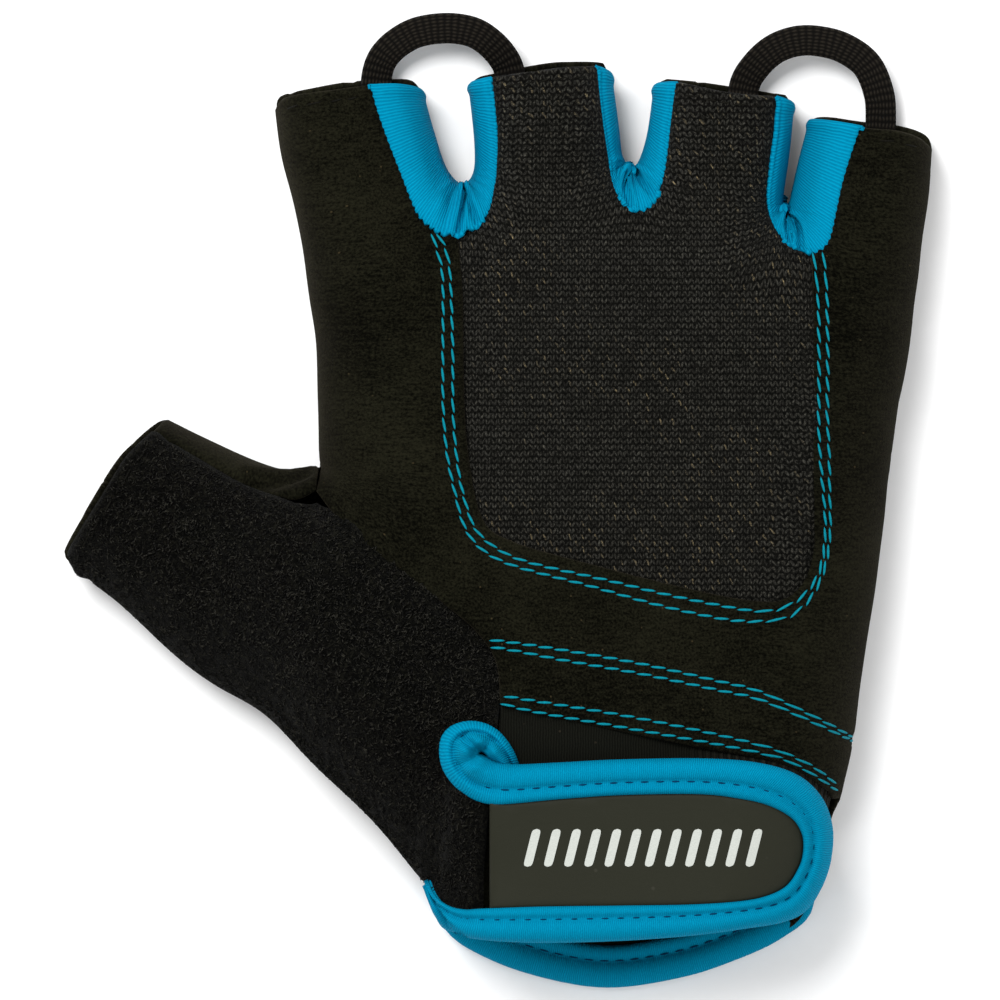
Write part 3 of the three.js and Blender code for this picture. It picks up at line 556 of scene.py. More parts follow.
def sew(name, outline, pitch, lift, wrap, material, wall):
    """Cuts a panel, wraps it with `lift` as its height over the form, and finishes it."""
    bm = cut_panel(outline, pitch)
    places = places_of(bm)
    move_to(bm, wrap(places, lift(places) + rounded(places, outline)))
    faces_up(bm, -1 if wrap is on_palm else 1)
    finish_piece(name, bm, name, material, wall, places)


# %% [markdown]
# ## Finishes
# The cloths differ in how light meets their fibres, and not only in colour. Each has a small
# pattern at its real scale: nap on the suede, loops in the knit, ribs on the stretch cloth.
# The patterns are node groups in millimetres, read from the cut sheet, so that they follow
# the cloth round its folds and never slide when the camera moves.

# %% Helpers for node trees
def feed(tree, socket, value):
    if isinstance(value, bpy.types.NodeSocket):
        tree.links.new(value, socket)
    else:
        socket.default_value = value


def calc(tree, operation, *values):
    """The result of a Math node."""
    node = tree.nodes.new("ShaderNodeMath")
    node.operation = operation
    for socket, value in zip(node.inputs, values):
        feed(tree, socket, value)
    return node.outputs[0]


def product(tree, first, *others):
    """All the values multiplied."""
    for value in others:
        first = calc(tree, "MULTIPLY", first, value)
    return first


def between(tree, value, start, end):
    """0 at start and 1 at end, with a smooth step."""
    node = tree.nodes.new("ShaderNodeMapRange")
    node.interpolation_type = "SMOOTHSTEP"
    for name, given in (("Value", value), ("From Min", start), ("From Max", end)):
        feed(tree, node.inputs[name], given)
    return node.outputs["Result"]


def tint(tree, share, first, second):
    """A mix of two colours."""
    node = tree.nodes.new("ShaderNodeMix")
    node.data_type = "RGBA"
    for i, value in ((0, share), (6, first), (7, second)):
        feed(tree, node.inputs[i], value)
    return node.outputs[2]


def noise(tree, vector, scale, detail=2.0, roughness=0.5, distortion=0.0):
    node = tree.nodes.new("ShaderNodeTexNoise")
    given = {"Vector": vector, "Scale": scale, "Detail": detail, "Roughness": roughness,
             "Distortion": distortion}
    for name, value in given.items():
        feed(tree, node.inputs[name], value)
    return node.outputs["Fac"]


def scaled(tree, vector, scale):
    node = tree.nodes.new("ShaderNodeMapping")
    feed(tree, node.inputs["Vector"], vector)
    node.inputs["Scale"].default_value = scale
    return node.outputs[0]


def parts_of(tree, vector):
    node = tree.nodes.new("ShaderNodeSeparateXYZ")
    feed(tree, node.inputs[0], vector)
    return node.outputs


def new_group(name, inputs, outputs):
    """A shader node group that takes a place and some numbers, and gives numbers."""
    tree = bpy.data.node_groups.new(name, "ShaderNodeTree")
    tree.interface.new_socket("Place", in_out="INPUT", socket_type="NodeSocketVector")
    for way, labels in (("INPUT", inputs), ("OUTPUT", outputs)):
        for label in labels:
            tree.interface.new_socket(label, in_out=way, socket_type="NodeSocketFloat")
    start, end = tree.nodes.new("NodeGroupInput"), tree.nodes.new("NodeGroupOutput")
    return tree, start.outputs, end.inputs


def place_group(tree, group, **values):
    node = tree.nodes.new("ShaderNodeGroup")
    node.node_tree = group
    for name, value in values.items():
        feed(tree, node.inputs[name.replace("_", " ")], value)
    return node.outputs


# %% Nap: short fibres that lie in soft clouds
nap, given, put = new_group("Nap", ["Fibre"], ["Shade", "Height"])
fine = noise(nap, given["Place"], calc(nap, "DIVIDE", 1.0, given["Fibre"]), 4.0, 0.7)
brushed = noise(nap, scaled(nap, given["Place"], (0.5, 1.6, 1.0)), 0.9, 3.0, 0.6, 0.4)
clouds = noise(nap, given["Place"], 0.05, 3.0, 0.55)
mixed = calc(nap, "ADD", product(nap, fine, 0.55), product(nap, brushed, 0.2))
feed(nap, put["Shade"], calc(nap, "ADD", mixed, product(nap, clouds, 0.25)))
feed(nap, put["Height"], calc(nap, "ADD", fine, product(nap, brushed, 0.4)))

# %% Lint: a few bright specks caught in the fibres
lint, given, put = new_group("Lint", ["Spacing", "Share"], ["Mask"])
cells = lint.nodes.new("ShaderNodeTexVoronoi")
feed(lint, cells.inputs["Vector"], given["Place"])
feed(lint, cells.inputs["Scale"], calc(lint, "DIVIDE", 1.0, given["Spacing"]))
speck = between(lint, cells.outputs["Distance"], 0.13, 0.05)
chosen = calc(lint, "LESS_THAN", parts_of(lint, cells.outputs["Color"])[0], given["Share"])
feed(lint, put["Mask"], product(lint, speck, chosen))

# %% Ribs: fine cords across a strip
ribs, given, put = new_group("Ribs", ["Pitch"], ["Shade", "Height"])
along, across, _ = parts_of(ribs, given["Place"])
waver = product(ribs, noise(ribs, given["Place"], 0.5, 2.0), 0.5)
turns = calc(ribs, "DIVIDE", calc(ribs, "ADD", along, waver), given["Pitch"])
wave = calc(ribs, "SINE", product(ribs, turns, 2 * math.pi))
rib = calc(ribs, "MULTIPLY_ADD", wave, 0.5, 0.5)
yarn = noise(ribs, scaled(ribs, given["Place"], (5.0, 2.2, 1.0)), 1.0, 2.0)
feed(ribs, put["Shade"], calc(ribs, "MULTIPLY_ADD", yarn, 0.5, product(ribs, rib, 0.5)))
feed(ribs, put["Height"], calc(ribs, "MULTIPLY_ADD", yarn, 0.25, rib))

# %% Knit: rows of small V stitches with dark holes between them, and painted highlights (glints) on some stitches
CELL_WIDTH, CELL_HEIGHT = 1.09, 1.08
knit, given, put = new_group("Knit", [], ["Yarn", "Painted Glint", "Height"])
wander = knit.nodes.new("ShaderNodeTexNoise")
feed(knit, wander.inputs["Vector"], given["Place"])
wander.inputs["Scale"].default_value = 0.8
pushed = knit.nodes.new("ShaderNodeVectorMath")
pushed.operation = "MULTIPLY_ADD"
feed(knit, pushed.inputs[0], wander.outputs["Color"])
pushed.inputs[1].default_value = (0.8, 0.6, 0)
feed(knit, pushed.inputs[2], given["Place"])
x, y, _ = parts_of(knit, pushed.outputs[0])
row_at = calc(knit, "DIVIDE", y, CELL_HEIGHT)
row = calc(knit, "FLOOR", row_at)
column_at = calc(knit, "DIVIDE", x, CELL_WIDTH)
column = calc(knit, "FLOOR", column_at)
middle = calc(knit, "SUBTRACT", calc(knit, "SUBTRACT", column_at, column), 0.5)
side = calc(knit, "ABSOLUTE", middle)
up = calc(knit, "SUBTRACT", calc(knit, "SUBTRACT", row_at, row), 0.5)
slope = calc(knit, "MULTIPLY_ADD", side, 2.0, -0.5)
arm = calc(knit, "ABSOLUTE", calc(knit, "SUBTRACT", up, slope))
ends = between(knit, calc(knit, "ABSOLUTE", up), 0.52, 0.3)
turn = calc(knit, "ABSOLUTE", calc(knit, "SUBTRACT", side, 0.25))
apart = calc(knit, "MULTIPLY_ADD", between(knit, turn, 0.25, 0.12), 0.75, 0.25)
stroke = product(knit, between(knit, arm, 0.5, 0.16), ends, apart)
cell_id = knit.nodes.new("ShaderNodeCombineXYZ")
feed(knit, cell_id.inputs[0], column)
feed(knit, cell_id.inputs[1], row)
luck = knit.nodes.new("ShaderNodeTexWhiteNoise")
luck.noise_dimensions = "2D"
feed(knit, luck.inputs["Vector"], cell_id.outputs[0])
strand = noise(knit, scaled(knit, given["Place"], (1.3, 0.8, 1.0)), 2.6, 3.0, 0.75, 0.8)
uneven = calc(knit, "MULTIPLY_ADD", luck.outputs["Value"], 0.9, 0.4)
fibre = between(knit, strand, 0.4, 0.62)
yarn = product(knit, stroke, uneven, calc(knit, "MULTIPLY_ADD", fibre, 1.2, 0.12))
yarn = calc(knit, "MAXIMUM", yarn, product(knit, fibre, 0.07))
# Painted highlights (glints): small light spots on the left arm of every second stitch, in random
# patches.
patchy = between(knit, noise(knit, given["Place"], 0.04, 1.0), 0.38, 0.62)
lucky = between(knit, luck.outputs["Value"], 0.3, 1.0)
chosen = calc(knit, "FLOORED_MODULO", calc(knit, "ADD", column, row), 2.0)
left = between(knit, middle, 0.0, -0.12)
painted_glint = product(knit, between(knit, arm, 0.35, 0.1), chosen, fibre, left, ends)
feed(knit, put["Yarn"], yarn)
feed(knit, put["Painted Glint"], product(knit, painted_glint, lucky, patchy))
feed(knit, put["Height"], calc(knit, "ADD", yarn, product(knit, strand, 0.25)))


# %% A material with its place in millimetres and its own shader
def new_finish(name, roughness, sheen, specular, source="UV"):
    """The material, its tree, its shader and the place on the cloth in mm."""
    material = bpy.data.materials.new(name)
    material.use_nodes = True
    tree = material.node_tree
    shader = tree.nodes["Principled BSDF"]
    shader.inputs["Roughness"].default_value = roughness
    shader.inputs["Sheen Weight"].default_value = sheen
    shader.inputs["Specular IOR Level"].default_value = specular
    at = tree.nodes.new("ShaderNodeTexCoord").outputs[source]
    size = MM_PER_UV if source == "UV" else 1 / MM
    return material, tree, shader, scaled(tree, at, (size, size, size))


def dress(tree, shader, colour, height, depth):
    """Gives the shader its colour and a relief `depth` millimetres deep."""
    feed(tree, shader.inputs["Base Color"], colour)
    node = tree.nodes.new("ShaderNodeBump")
    node.inputs["Distance"].default_value = depth * MM
    feed(tree, node.inputs["Height"], height)
    feed(tree, shader.inputs["Normal"], node.outputs[0])


def with_lint(tree, at, cloth, spacing, share, strength, colour):
    """The cloth's colour with specks of lint on it."""
    specks = place_group(tree, lint, Place=at, Spacing=spacing, Share=share)
    return tint(tree, product(tree, specks["Mask"], strength), cloth, colour)


# %% Suede
def suede_finish():
    material, tree, shader, at = new_finish("suede", 0.95, 0.05, 0.02)
    shader.inputs["Sheen Roughness"].default_value = 0.45
    shader.inputs["Sheen Tint"].default_value = (0.5, 0.43, 0.3, 1)
    fibres = place_group(tree, nap, Place=at, Fibre=0.42)
    shade = between(tree, fibres["Shade"], 0.4, 0.63)
    cloth = tint(tree, shade, (0.0008, 0.0008, 0.0004, 1), (0.0105, 0.0102, 0.0056, 1))
    shown = with_lint(tree, at, cloth, 1.7, 0.2, 0.45, (0.06, 0.045, 0.022, 1))
    dress(tree, shader, shown, fibres["Height"], 0.16)
    return material


# %% Knit, with its glints painted in as highlights
def knit_finish():
    material, tree, shader, at = new_finish("knit", 0.85, 0.02, 0.03)
    loops = place_group(tree, knit, Place=at)
    cloth = tint(tree, loops["Yarn"], (0.0006, 0.0006, 0.0004, 1), (0.054, 0.052, 0.042, 1))
    # The glints are painted highlights: a light tan mixed into the knit's base colour.
    shown = tint(tree, loops["Painted Glint"], cloth, (0.26, 0.2, 0.1, 1))
    dress(tree, shader, shown, loops["Height"], 0.3)
    return material


# %% Blue stretch cloth, in a coarser and a finer rib
def stretch_finish(name, pitch):
    material, tree, shader, at = new_finish(name, 0.8, 0.0, 0.03)
    shader.inputs["Specular Tint"].default_value = (0.0, 0.5, 0.9, 1)
    cords = place_group(tree, ribs, Place=at, Pitch=pitch)
    shown = tint(tree, cords["Shade"], (0.0003, 0.118, 0.225, 1), (0.0009, 0.255, 0.42, 1))
    dress(tree, shader, shown, cords["Height"], 0.08)
    return material


# %% Terry: dark ground with curly loops
def terry_finish(name, dark, light):
    material, tree, shader, at = new_finish(name, 0.95, 0.02, 0.03, "Object")
    fibres = place_group(tree, nap, Place=at, Fibre=0.5)
    curls = noise(tree, at, 1.5, 3.0, 0.65, 1.4)
    shade = product(tree, between(tree, curls, 0.46, 0.64), fibres["Shade"])
    dress(tree, shader, tint(tree, shade, dark, light), curls, 0.6)
    return material


# %% Ribbed elastic, which is gathered into coarser ribs near the little finger's side
GATHERED_FROM, GATHERED_FULL = 30.0, 40.0


def elastic_finish():
    material, tree, shader, at = new_finish("elastic", 0.85, 0.02, 0.03)
    cords = place_group(tree, ribs, Place=at, Pitch=0.45)
    coarse = place_group(tree, ribs, Place=at, Pitch=1.25)
    gathered = between(tree, parts_of(tree, at)[0], GATHERED_FROM, GATHERED_FULL)
    rough = product(tree, gathered, calc(tree, "POWER", coarse["Height"], 2.0))
    cloth = tint(tree, cords["Shade"], (0.0014, 0.0014, 0.0008, 1), (0.0078, 0.0082, 0.0058, 1))
    ridged = tint(tree, product(tree, rough, 0.6), cloth, (0.019, 0.0185, 0.013, 1))
    shown = with_lint(tree, at, ridged, 2.0, 0.1, 0.3, (0.05, 0.038, 0.025, 1))
    dress(tree, shader, shown, calc(tree, "MULTIPLY_ADD", rough, 4.0, cords["Height"]), 0.12)
    return material


# %% Webbing, rubber and thread
def webbing_finish():
    material, tree, shader, at = new_finish("webbing", 0.8, 0.02, 0.05)
    cords = place_group(tree, ribs, Place=at, Pitch=1.15)
    along_web, across_web, _ = parts_of(tree, at)
    turned = tree.nodes.new("ShaderNodeCombineXYZ")
    feed(tree, turned.inputs[0], across_web)
    feed(tree, turned.inputs[1], along_web)
    warp = place_group(tree, ribs, Place=turned.outputs[0], Pitch=0.6)
    weave = product(tree, cords["Height"], warp["Height"])
    shown = tint(tree, weave, (0.0012, 0.001, 0.0008, 1), (0.0175, 0.0145, 0.0105, 1))
    dress(tree, shader, shown, weave, 0.25)
    return material


def rubber_finish():
    material, tree, shader, at = new_finish("rubber", 0.6, 0.0, 0.12)
    fibres = place_group(tree, nap, Place=at, Fibre=0.22)
    cloth = tint(tree, fibres["Shade"], (0.0105, 0.0112, 0.0058, 1), (0.019, 0.0196, 0.0118, 1))
    shown = with_lint(tree, at, cloth, 3.2, 0.07, 0.15, (0.08, 0.075, 0.06, 1))
    dress(tree, shader, shown, fibres["Height"], 0.03)
    return material


def plain_finish(name, dark, light):
    """Thread or print: two close colours in a fine mottle."""
    material, tree, shader, at = new_finish(name, 0.7, 0.0, 0.06, "Object")
    strand = noise(tree, at, 3.5)
    dress(tree, shader, tint(tree, strand, dark, light), strand, 0.08)
    return material


suede, knit_cloth, elastic, webbing, rubber = (
    make() for make in (suede_finish, knit_finish, elastic_finish, webbing_finish, rubber_finish)
)
stretch = stretch_finish("stretch_strip", 0.58)
tape_cloth = stretch_finish("stretch_tape", 0.34)
terry = terry_finish("terry", (0.0006, 0.0006, 0.0004, 1), (0.0135, 0.013, 0.009, 1))
terry_loops = terry_finish("terry_loops", (0.001, 0.001, 0.0007, 1), (0.055, 0.052, 0.04, 1))
blue_thread = plain_finish("blue_thread", (0.0, 0.09, 0.125, 1), (0.0015, 0.27, 0.345, 1))
navy_thread = plain_finish("navy_thread", (0.0, 0.012, 0.04, 1), (0.0, 0.045, 0.12, 1))
black_thread = plain_finish("black_thread", (0.0008, 0.0008, 0.0005, 1), (0.008, 0.0075, 0.005, 1))
print_ink = plain_finish("print_ink", (0.4, 0.42, 0.39, 1), (0.52, 0.54, 0.5, 1))
print(len(bpy.data.materials), "materials")

# %% [markdown]
# ## Lines of stitches
# Blue thread runs in double rows round the knit window and across the back of the hand. The rows
# pull the suede down into a shallow channel, so the lines come first, and both the cloth and the
# thread follow them.

# %% Rows of stitches, as places in the photograph
WINDOW_INNER = [
    (437, 233), (445, 247), (450, 270), (453, 350), (453, 400), (455, 440), (460, 480), (465, 500),
    (475, 529), (496, 548), (528, 562), (607, 580), (665, 594), (719, 605), (757, 611), (783, 608),
    (805, 592), (818, 570), (824, 532), (824, 500), (820, 450), (819, 400), (818, 350), (817, 300),
    (813, 253),
]
WINDOW_OUTER = [
    (432, 233), (437, 250), (443, 280), (443, 380), (444, 420), (448, 460), (457, 500), (464, 526),
    (480, 548), (512, 565), (591, 586), (655, 604), (719, 618), (751, 621), (786, 618), (808, 599),
    (822, 570), (829, 532), (830, 500), (830, 450), (828, 400), (827, 350), (826, 300), (823, 253),
]
UPPER_BAND = [
    [(489, 639), (520, 643), (560, 649), (640, 663), (720, 681), (760, 691), (820, 719), (853, 738)],
    [(490, 646), (520, 651), (560, 659), (640, 673), (720, 690), (760, 699), (820, 725), (853, 742)],
]
LOWER_BAND = [
    [(503, 695), (540, 701), (620, 714), (700, 730), (770, 747), (800, 759), (820, 770), (838, 785)],
    [(500, 702), (530, 710), (620, 726), (720, 744), (780, 757), (800, 766), (820, 778), (840, 792)],
]
seen_rows = (WINDOW_INNER, WINDOW_OUTER, *UPPER_BAND, *LOWER_BAND)
blue_rows = [seen_line(row) for row in seen_rows]
CHANNEL_DEPTH, CHANNEL_WIDTH = 0.3, 0.8


def channels(places):
    """The shallow channels that the blue rows pull into the suede."""
    return np.minimum.reduce(
        [bump_along(places, row, -CHANNEL_DEPTH, CHANNEL_WIDTH) for row in blue_rows]
    )



# %% [markdown]
# ## The suede of the back
# One panel frames the knit window, from the index finger round the hand to the little finger.
# Its edge lies over the knit, so it keeps its full height there and only the cut edge is round.

# %% Back of the hand
back_outline = chain(
    index_side, crotch_seam[::-1], gusset_seam, suede_edge, little_side[::-1],
    little_hem[1][::-1], little_seam[::-1], mesh_edge[::-1], index_seam[::-1], index_hem[0][::-1],
)
KNUCKLE_FOLDS = [
    [(330, 250), (360, 244), (395, 250), (420, 262)],
    [(330, 330), (365, 322), (405, 330)],
    [(842, 300), (870, 292), (905, 300)],
    [(845, 420), (870, 410), (893, 414)],
]
CROTCH_FOLD = [(319, 470), (330, 500), (352, 520)]
KNUCKLE_DEPTH, KNUCKLE_WIDTH = 0.45, 4.0
CROTCH_DEPTH, CROTCH_WIDTH = 0.8, 3.0


def suede_lift(places):
    lift = ripple(places, 42, 0.35, 3) + ripple(places, 14, 0.08, 5)
    lift += channels(places)
    for fold in KNUCKLE_FOLDS:
        lift += bump_along(places, seen_line(fold), -KNUCKLE_DEPTH, KNUCKLE_WIDTH)
    return lift + bump_along(places, seen_line(CROTCH_FOLD), -CROTCH_DEPTH, CROTCH_WIDTH)


sew("back_suede", back_outline, 1.1, suede_lift, on_back, suede, SUEDE_WALL)

# %% [markdown]
# ## The knit window
# The knit reaches a little under the suede all round, lies lower there, and swells in the middle.

# %% Knit window
UNDER_SUEDE, UNDER_DROP, DROP_WIDTH, KNIT_DROP = 2.2, 0.85, 9.0, 0.25
knit_outline = chain(
    beside(mesh_edge, -UNDER_SUEDE)[2:-2], ring_outer_seam[::-1], ring_hem[1][::-1],
    middle_ring_seam[::-1], middle_hem[1][::-1], middle_inner_seam[::-1],
)


def knit_lift(places):
    under = 1 - ease(distance(places, mesh_edge), 0.0, DROP_WIDTH)
    below = np.where(inside(places, knit_outline), under, 1)
    return ripple(places, 30, 0.3, 8) - KNIT_DROP - UNDER_DROP * below


sew("back_mesh", knit_outline, 1.1, knit_lift, on_back, knit_cloth, KNIT_WALL)

# %% [markdown]
# ## The blue strips between the fingers
# Each strip is one long piece folded round the bottom of a gap. The seam gathers its edge in
# small teeth, and the cloth bunches into folds at the bottom, where there is too much of it.
# Its pattern runs along the seam, so the ribs turn with the strip.

# %% Strips
TOOTH_PITCH, TOOTH_DEPTH, TOOTH_LEAST = 1.3, 0.35, 0.3
STRIP_STEP, STRIP_GIRTH, EDGE_STEP = 0.36, 8.0, 0.4
OVER_SEAM, GATHER_REACH = 0.15, 9.0
SEAM_SINK, SEAM_SINK_WIDTH = 0.5, 0.7
STRIP_SWELL, STRIP_SWELL_AT, STRIP_SWELL_WIDTH = 0.4, 2.2, 1.5
HEM_ROLL, HEM_ROLL_AT, HEM_ROLL_WIDTH, HEM_EDGE_WIDTH = 0.3, 1.6, 1.2, 0.6
FOLD_END = 0.25
STRIP_FOLDS = {
    "fourchette_index_middle": [
        ([(463, 186), (464, 203), (458, 231)], 1.7, 0.7),
        ([(466, 192), (470, 205), (476, 220)], 1.2, 0.8),
        ([(452, 194), (449, 208), (446, 222)], 0.7, 1.4),
        ([(441, 152), (447, 168), (456, 182)], 0.7, 1.5),
    ],
    "fourchette_middle_ring": [
        ([(627, 172), (626, 187), (630, 204)], 1.4, 0.7),
        ([(636, 171), (642, 184), (650, 192)], 1.2, 0.8),
        ([(618, 168), (618, 182), (622, 195)], 0.6, 1.2),
    ],
    "fourchette_ring_little": [
        ([(785, 214), (794, 219), (799, 229), (801, 240), (800, 250)], 1.4, 0.8),
        ([(786, 218), (787, 230), (790, 241)], 0.9, 0.9),
    ],
}


def strip_of_cloth(length, width, pitch):
    """A flat grid: its shares along it and across it, from 0 to 1."""
    bm = bmesh.new()
    bmesh.ops.create_grid(bm, x_segments=max(2, round(length / pitch)),
                          y_segments=max(2, round(width / pitch)), size=0.5)
    return bm, places_of(bm) + 0.5


def on_line(line, share):
    """Places on a line of evenly spaced points, at shares of its length."""
    at = np.linspace(0, 1, len(line))
    return np.column_stack([np.interp(share, at, column) for column in line.T])


def sew_strip(name, gap, crotch):
    """A strip from the seam to the side of the gap, its lowest points opposite each other."""
    seam_line, gap_line = spaced(crotch, EDGE_STEP), spaced(gap, EDGE_STEP)
    low_seam = seam_line[:, 1].argmin() / (len(seam_line) - 1)
    low_gap = gap_line[:, 1].argmin() / (len(gap_line) - 1)
    length = run_of(seam_line)[-1]
    bm, share = strip_of_cloth(length, STRIP_GIRTH, STRIP_STEP)
    along, across = share.T
    partner = np.interp(along, (0, low_seam, 1), (0, low_gap, 1))
    seam_place, gap_place = on_line(seam_line, along), on_line(gap_line, partner)
    gathered = mix(TOOTH_LEAST, 1, bell(along * length, low_seam * length, GATHER_REACH))
    tooth = TOOTH_DEPTH * waves(along * length, TOOTH_PITCH)
    seam_place = seam_place + unit(seam_place - gap_place) * (OVER_SEAM + tooth * gathered)[:, None]
    places = mix(seam_place, gap_place, across[:, None])
    ends = np.minimum(along, 1 - along) * length
    lift = OVER_SEAM - SEAM_SINK * fall(distance(places, crotch), SEAM_SINK_WIDTH)
    lift += bump_along(places, beside(crotch, STRIP_SWELL_AT), STRIP_SWELL, STRIP_SWELL_WIDTH)
    lift += HEM_ROLL * (bell(ends, HEM_ROLL_AT, HEM_ROLL_WIDTH) - fall(ends, HEM_EDGE_WIDTH))
    for fold, depth, width in STRIP_FOLDS[name]:
        sunk = folded_in(places, seen_line(fold, 0.6), depth, width)
        lift += sunk * ease(1 - across, 0, FOLD_END)
    move_to(bm, on_back(places, lift))
    faces_up(bm)
    finish_piece(name, bm, name, stretch, wall=LYCRA_WALL,
                 sheet=np.column_stack([along * length, across * STRIP_GIRTH]))


sew_strip("fourchette_index_middle", gaps[0], chain(index_seam, middle_inner_seam))
sew_strip("fourchette_middle_ring", gaps[1], middle_ring_seam)
sew_strip("fourchette_ring_little", gaps[2], chain(ring_outer_seam, little_seam))

# %% [markdown]
# ## The thumb
# The thumb's back is terry, which reaches on down to the wrist, and a suede strip closes it at
# the top. Where the thumb leaves the hand the cloth sinks into a fold, and where it meets the
# suede it dives under that edge. At the wrist it swells, because the strap comes round under it.

# %% Terry and suede of the thumb
TERRY_TUCK, TUCK_FULL = 1.4, 8.0
tucked = TERRY_TUCK * ease(run_of(gusset_seam), 0, TUCK_FULL)
terry_outline = chain(
    thumb_side[:-2], terry_hem[2:], terry_edge[::-1], beside(gusset_seam, tucked)[::-1],
    thumb_seam[::-1], thumb_hem[0][::-1],
)
THUMB_FOLD = [(318, 468), (311, 485), (306, 515), (306, 545)]
WRIST_FOLD = [(455, 640), (440, 680), (427, 720), (420, 770), (421, 830)]
STRAP_END = [(441, 765), (438, 800), (436, 840), (438, 880)]
THUMB_FOLD_DEPTH, WRIST_FOLD_DEPTH, TERRY_FOLD_WIDTH = 1.8, 1.0, 4.0
TERRY_LIFT, DIVE_DEPTH, DIVE_WIDTH = 0.2, 1.2, 2.2
TERRY_SWELL, STRAP_RAMP, SIDE_RAMP = 2.6, (0.5, 3.0), (1.0, 7.0)
SWELL_LEFT, SWELL_FULL_Y, SWELL_END_Y = 438, 790, 765
# The hem is turned over and sewn down: height, distance from the edge, and width of each band.
HEM_BANDS = ((0.35, 1.3, 1.0), (-0.3, 3.2, 0.6))


def terry_lift(places):
    lift = TERRY_LIFT + ripple(places, 26, 0.5, 11)
    lift += bump_along(places, gusset_seam, -DIVE_DEPTH, DIVE_WIDTH)
    for fold, depth in ((THUMB_FOLD, THUMB_FOLD_DEPTH), (WRIST_FOLD, WRIST_FOLD_DEPTH)):
        lift += bump_along(places, seen_line(fold), -depth, TERRY_FOLD_WIDTH)
    (left, full), (_, end) = photo([(SWELL_LEFT, SWELL_FULL_Y), (SWELL_LEFT, SWELL_END_Y)])
    start = distance(places, seen_line(STRAP_END))
    swell = np.where(places[:, 0] > left, ease(start, *STRAP_RAMP), 0)
    low = 1 - ease(places[:, 1], full, end)
    away = ease(distance(places, thumb_side), *SIDE_RAMP)
    lift += TERRY_SWELL * swell * low * away
    hem_band = distance(places, thumb_hem[0])
    return lift + sum(height * bell(hem_band, at, width) for height, at, width in HEM_BANDS)


sew("thumb_terry", terry_outline, 1.1, terry_lift, on_back, terry, TERRY_WALL)

strip_outline = chain(thumb_top, thumb_hem[1][::-1], thumb_seam, crotch_seam)
STRIP_FOLD = [(248, 484), (275, 482), (305, 473)]


def thumb_strip_lift(places):
    return folded_in(places, seen_line(STRIP_FOLD), 1.3, 1.6) + ripple(places, 20, 0.2, 13)


sew("thumb_suede", strip_outline, 0.9, thumb_strip_lift, on_back, suede, SUEDE_WALL)

# %% [markdown]
# ## The cuff and the palm
# Black elastic closes the cuff under the strap. It starts below the suede's edge. The palm is
# one suede piece that lies flat on the floor and rolls up to the side seams.

# %% Cuff elastic
ELASTIC_UNDER, ELASTIC_DROP, ELASTIC_DIVE, ELASTIC_DIVE_WIDTH = 2.0, 0.35, 0.85, 3.0
elastic_outline = chain(
    beside(suede_edge, ELASTIC_UNDER), cuff_side, elastic_hem[::-1], terry_edge[::-1][:-2],
)


def elastic_lift(places):
    lift = ripple(places, 24, 0.3, 17) - ELASTIC_DROP
    return lift + bump_along(places, suede_edge, -ELASTIC_DIVE, ELASTIC_DIVE_WIDTH)


sew("cuff_elastic", elastic_outline, 1.2, elastic_lift, on_back,
    elastic, ELASTIC_WALL)

# %% Palm
palm_outline = chain(
    index_side, thumb_top, *backwards(thumb_palm), thumb_side, palm_hem,
    cuff_side[::-1], little_side[::-1], *backwards(little_palm), gaps[2][::-1],
    *backwards(ring_palm), gaps[1][::-1], *backwards(middle_palm), gaps[0][::-1],
    *backwards(index_palm),
)


def even_lift(height):
    """A lift that is the same everywhere."""
    return lambda places: np.full(len(places), float(height))


sew("palm_suede", palm_outline, 1.8, even_lift(0), on_palm, suede, SUEDE_WALL)

# %% [markdown]
# ## The strap
# The strap lies in layers on the cuff: a terry core, blue tape folded round its edge, and a flat
# rubber patch inside the tape. Layers are laid from above, on the form's surface offset by their
# height, so that the strap bends down over the side of the wrist.

# %% Laying a layer on the back
def laid(places, lift):
    """Points right above the seen places, `lift` off the back of the form."""
    gap, _ = from_side(places)
    gap = np.where(inside(places, palm_outline), gap, -gap)
    form = section(places)
    past = np.maximum(form.roll - gap, 0) / (form.roll + lift)
    rise = (form.height - form.seam + lift) * np.sqrt(np.clip(1 - past**2, 0, 1))
    return np.column_stack([places, form.seam + rise])


# %% Tape round the strap: x and y of its outer edge, x and y of its inner edge
STRAP_TAPE = [
    (-0.076, 0.11, -0.072, 0.121), (-0.071, 0.097, -0.065, 0.106), (-0.065, 0.084, -0.052, 0.096),
    (-0.053, 0.069, -0.036, 0.092), (-0.02, 0.062, -0.016, 0.093), (0.04, 0.059, 0.042, 0.095),
    (0.12, 0.061, 0.12, 0.096), (0.19, 0.066, 0.185, 0.097), (0.245, 0.073, 0.235, 0.1),
    (0.283, 0.079, 0.264, 0.105), (0.306, 0.09, 0.285, 0.115), (0.322, 0.114, 0.297, 0.132),
    (0.331, 0.142, 0.302, 0.148), (0.332, 0.175, 0.301, 0.167), (0.32, 0.205, 0.29, 0.184),
    (0.295, 0.227, 0.266, 0.197), (0.255, 0.239, 0.235, 0.204), (0.2, 0.243, 0.195, 0.208),
    (0.12, 0.242, 0.12, 0.207), (0.06, 0.239, 0.06, 0.203), (0.018, 0.237, 0.018, 0.199),
]
# The same four numbers in pixels of the photograph. The outer edge stays in the pinch while the
# inner edge swings round it.
CURL_TAPE = [
    (507, 762, 504, 802), (497, 759, 490, 802), (489, 756, 475, 798), (484, 754, 463, 791),
    (482, 753, 453, 782), (481, 753, 445, 771), (480, 753, 441, 760), (480, 753, 440, 748),
    (480, 752, 442, 736), (480, 752, 449, 727), (481, 751, 459, 722), (482, 751, 471, 720),
    (484, 752, 484, 722), (486, 754, 496, 728), (488, 757, 506, 738), (492, 761, 514, 751),
    (497, 765, 519, 764), (502, 769, 521, 773),
]
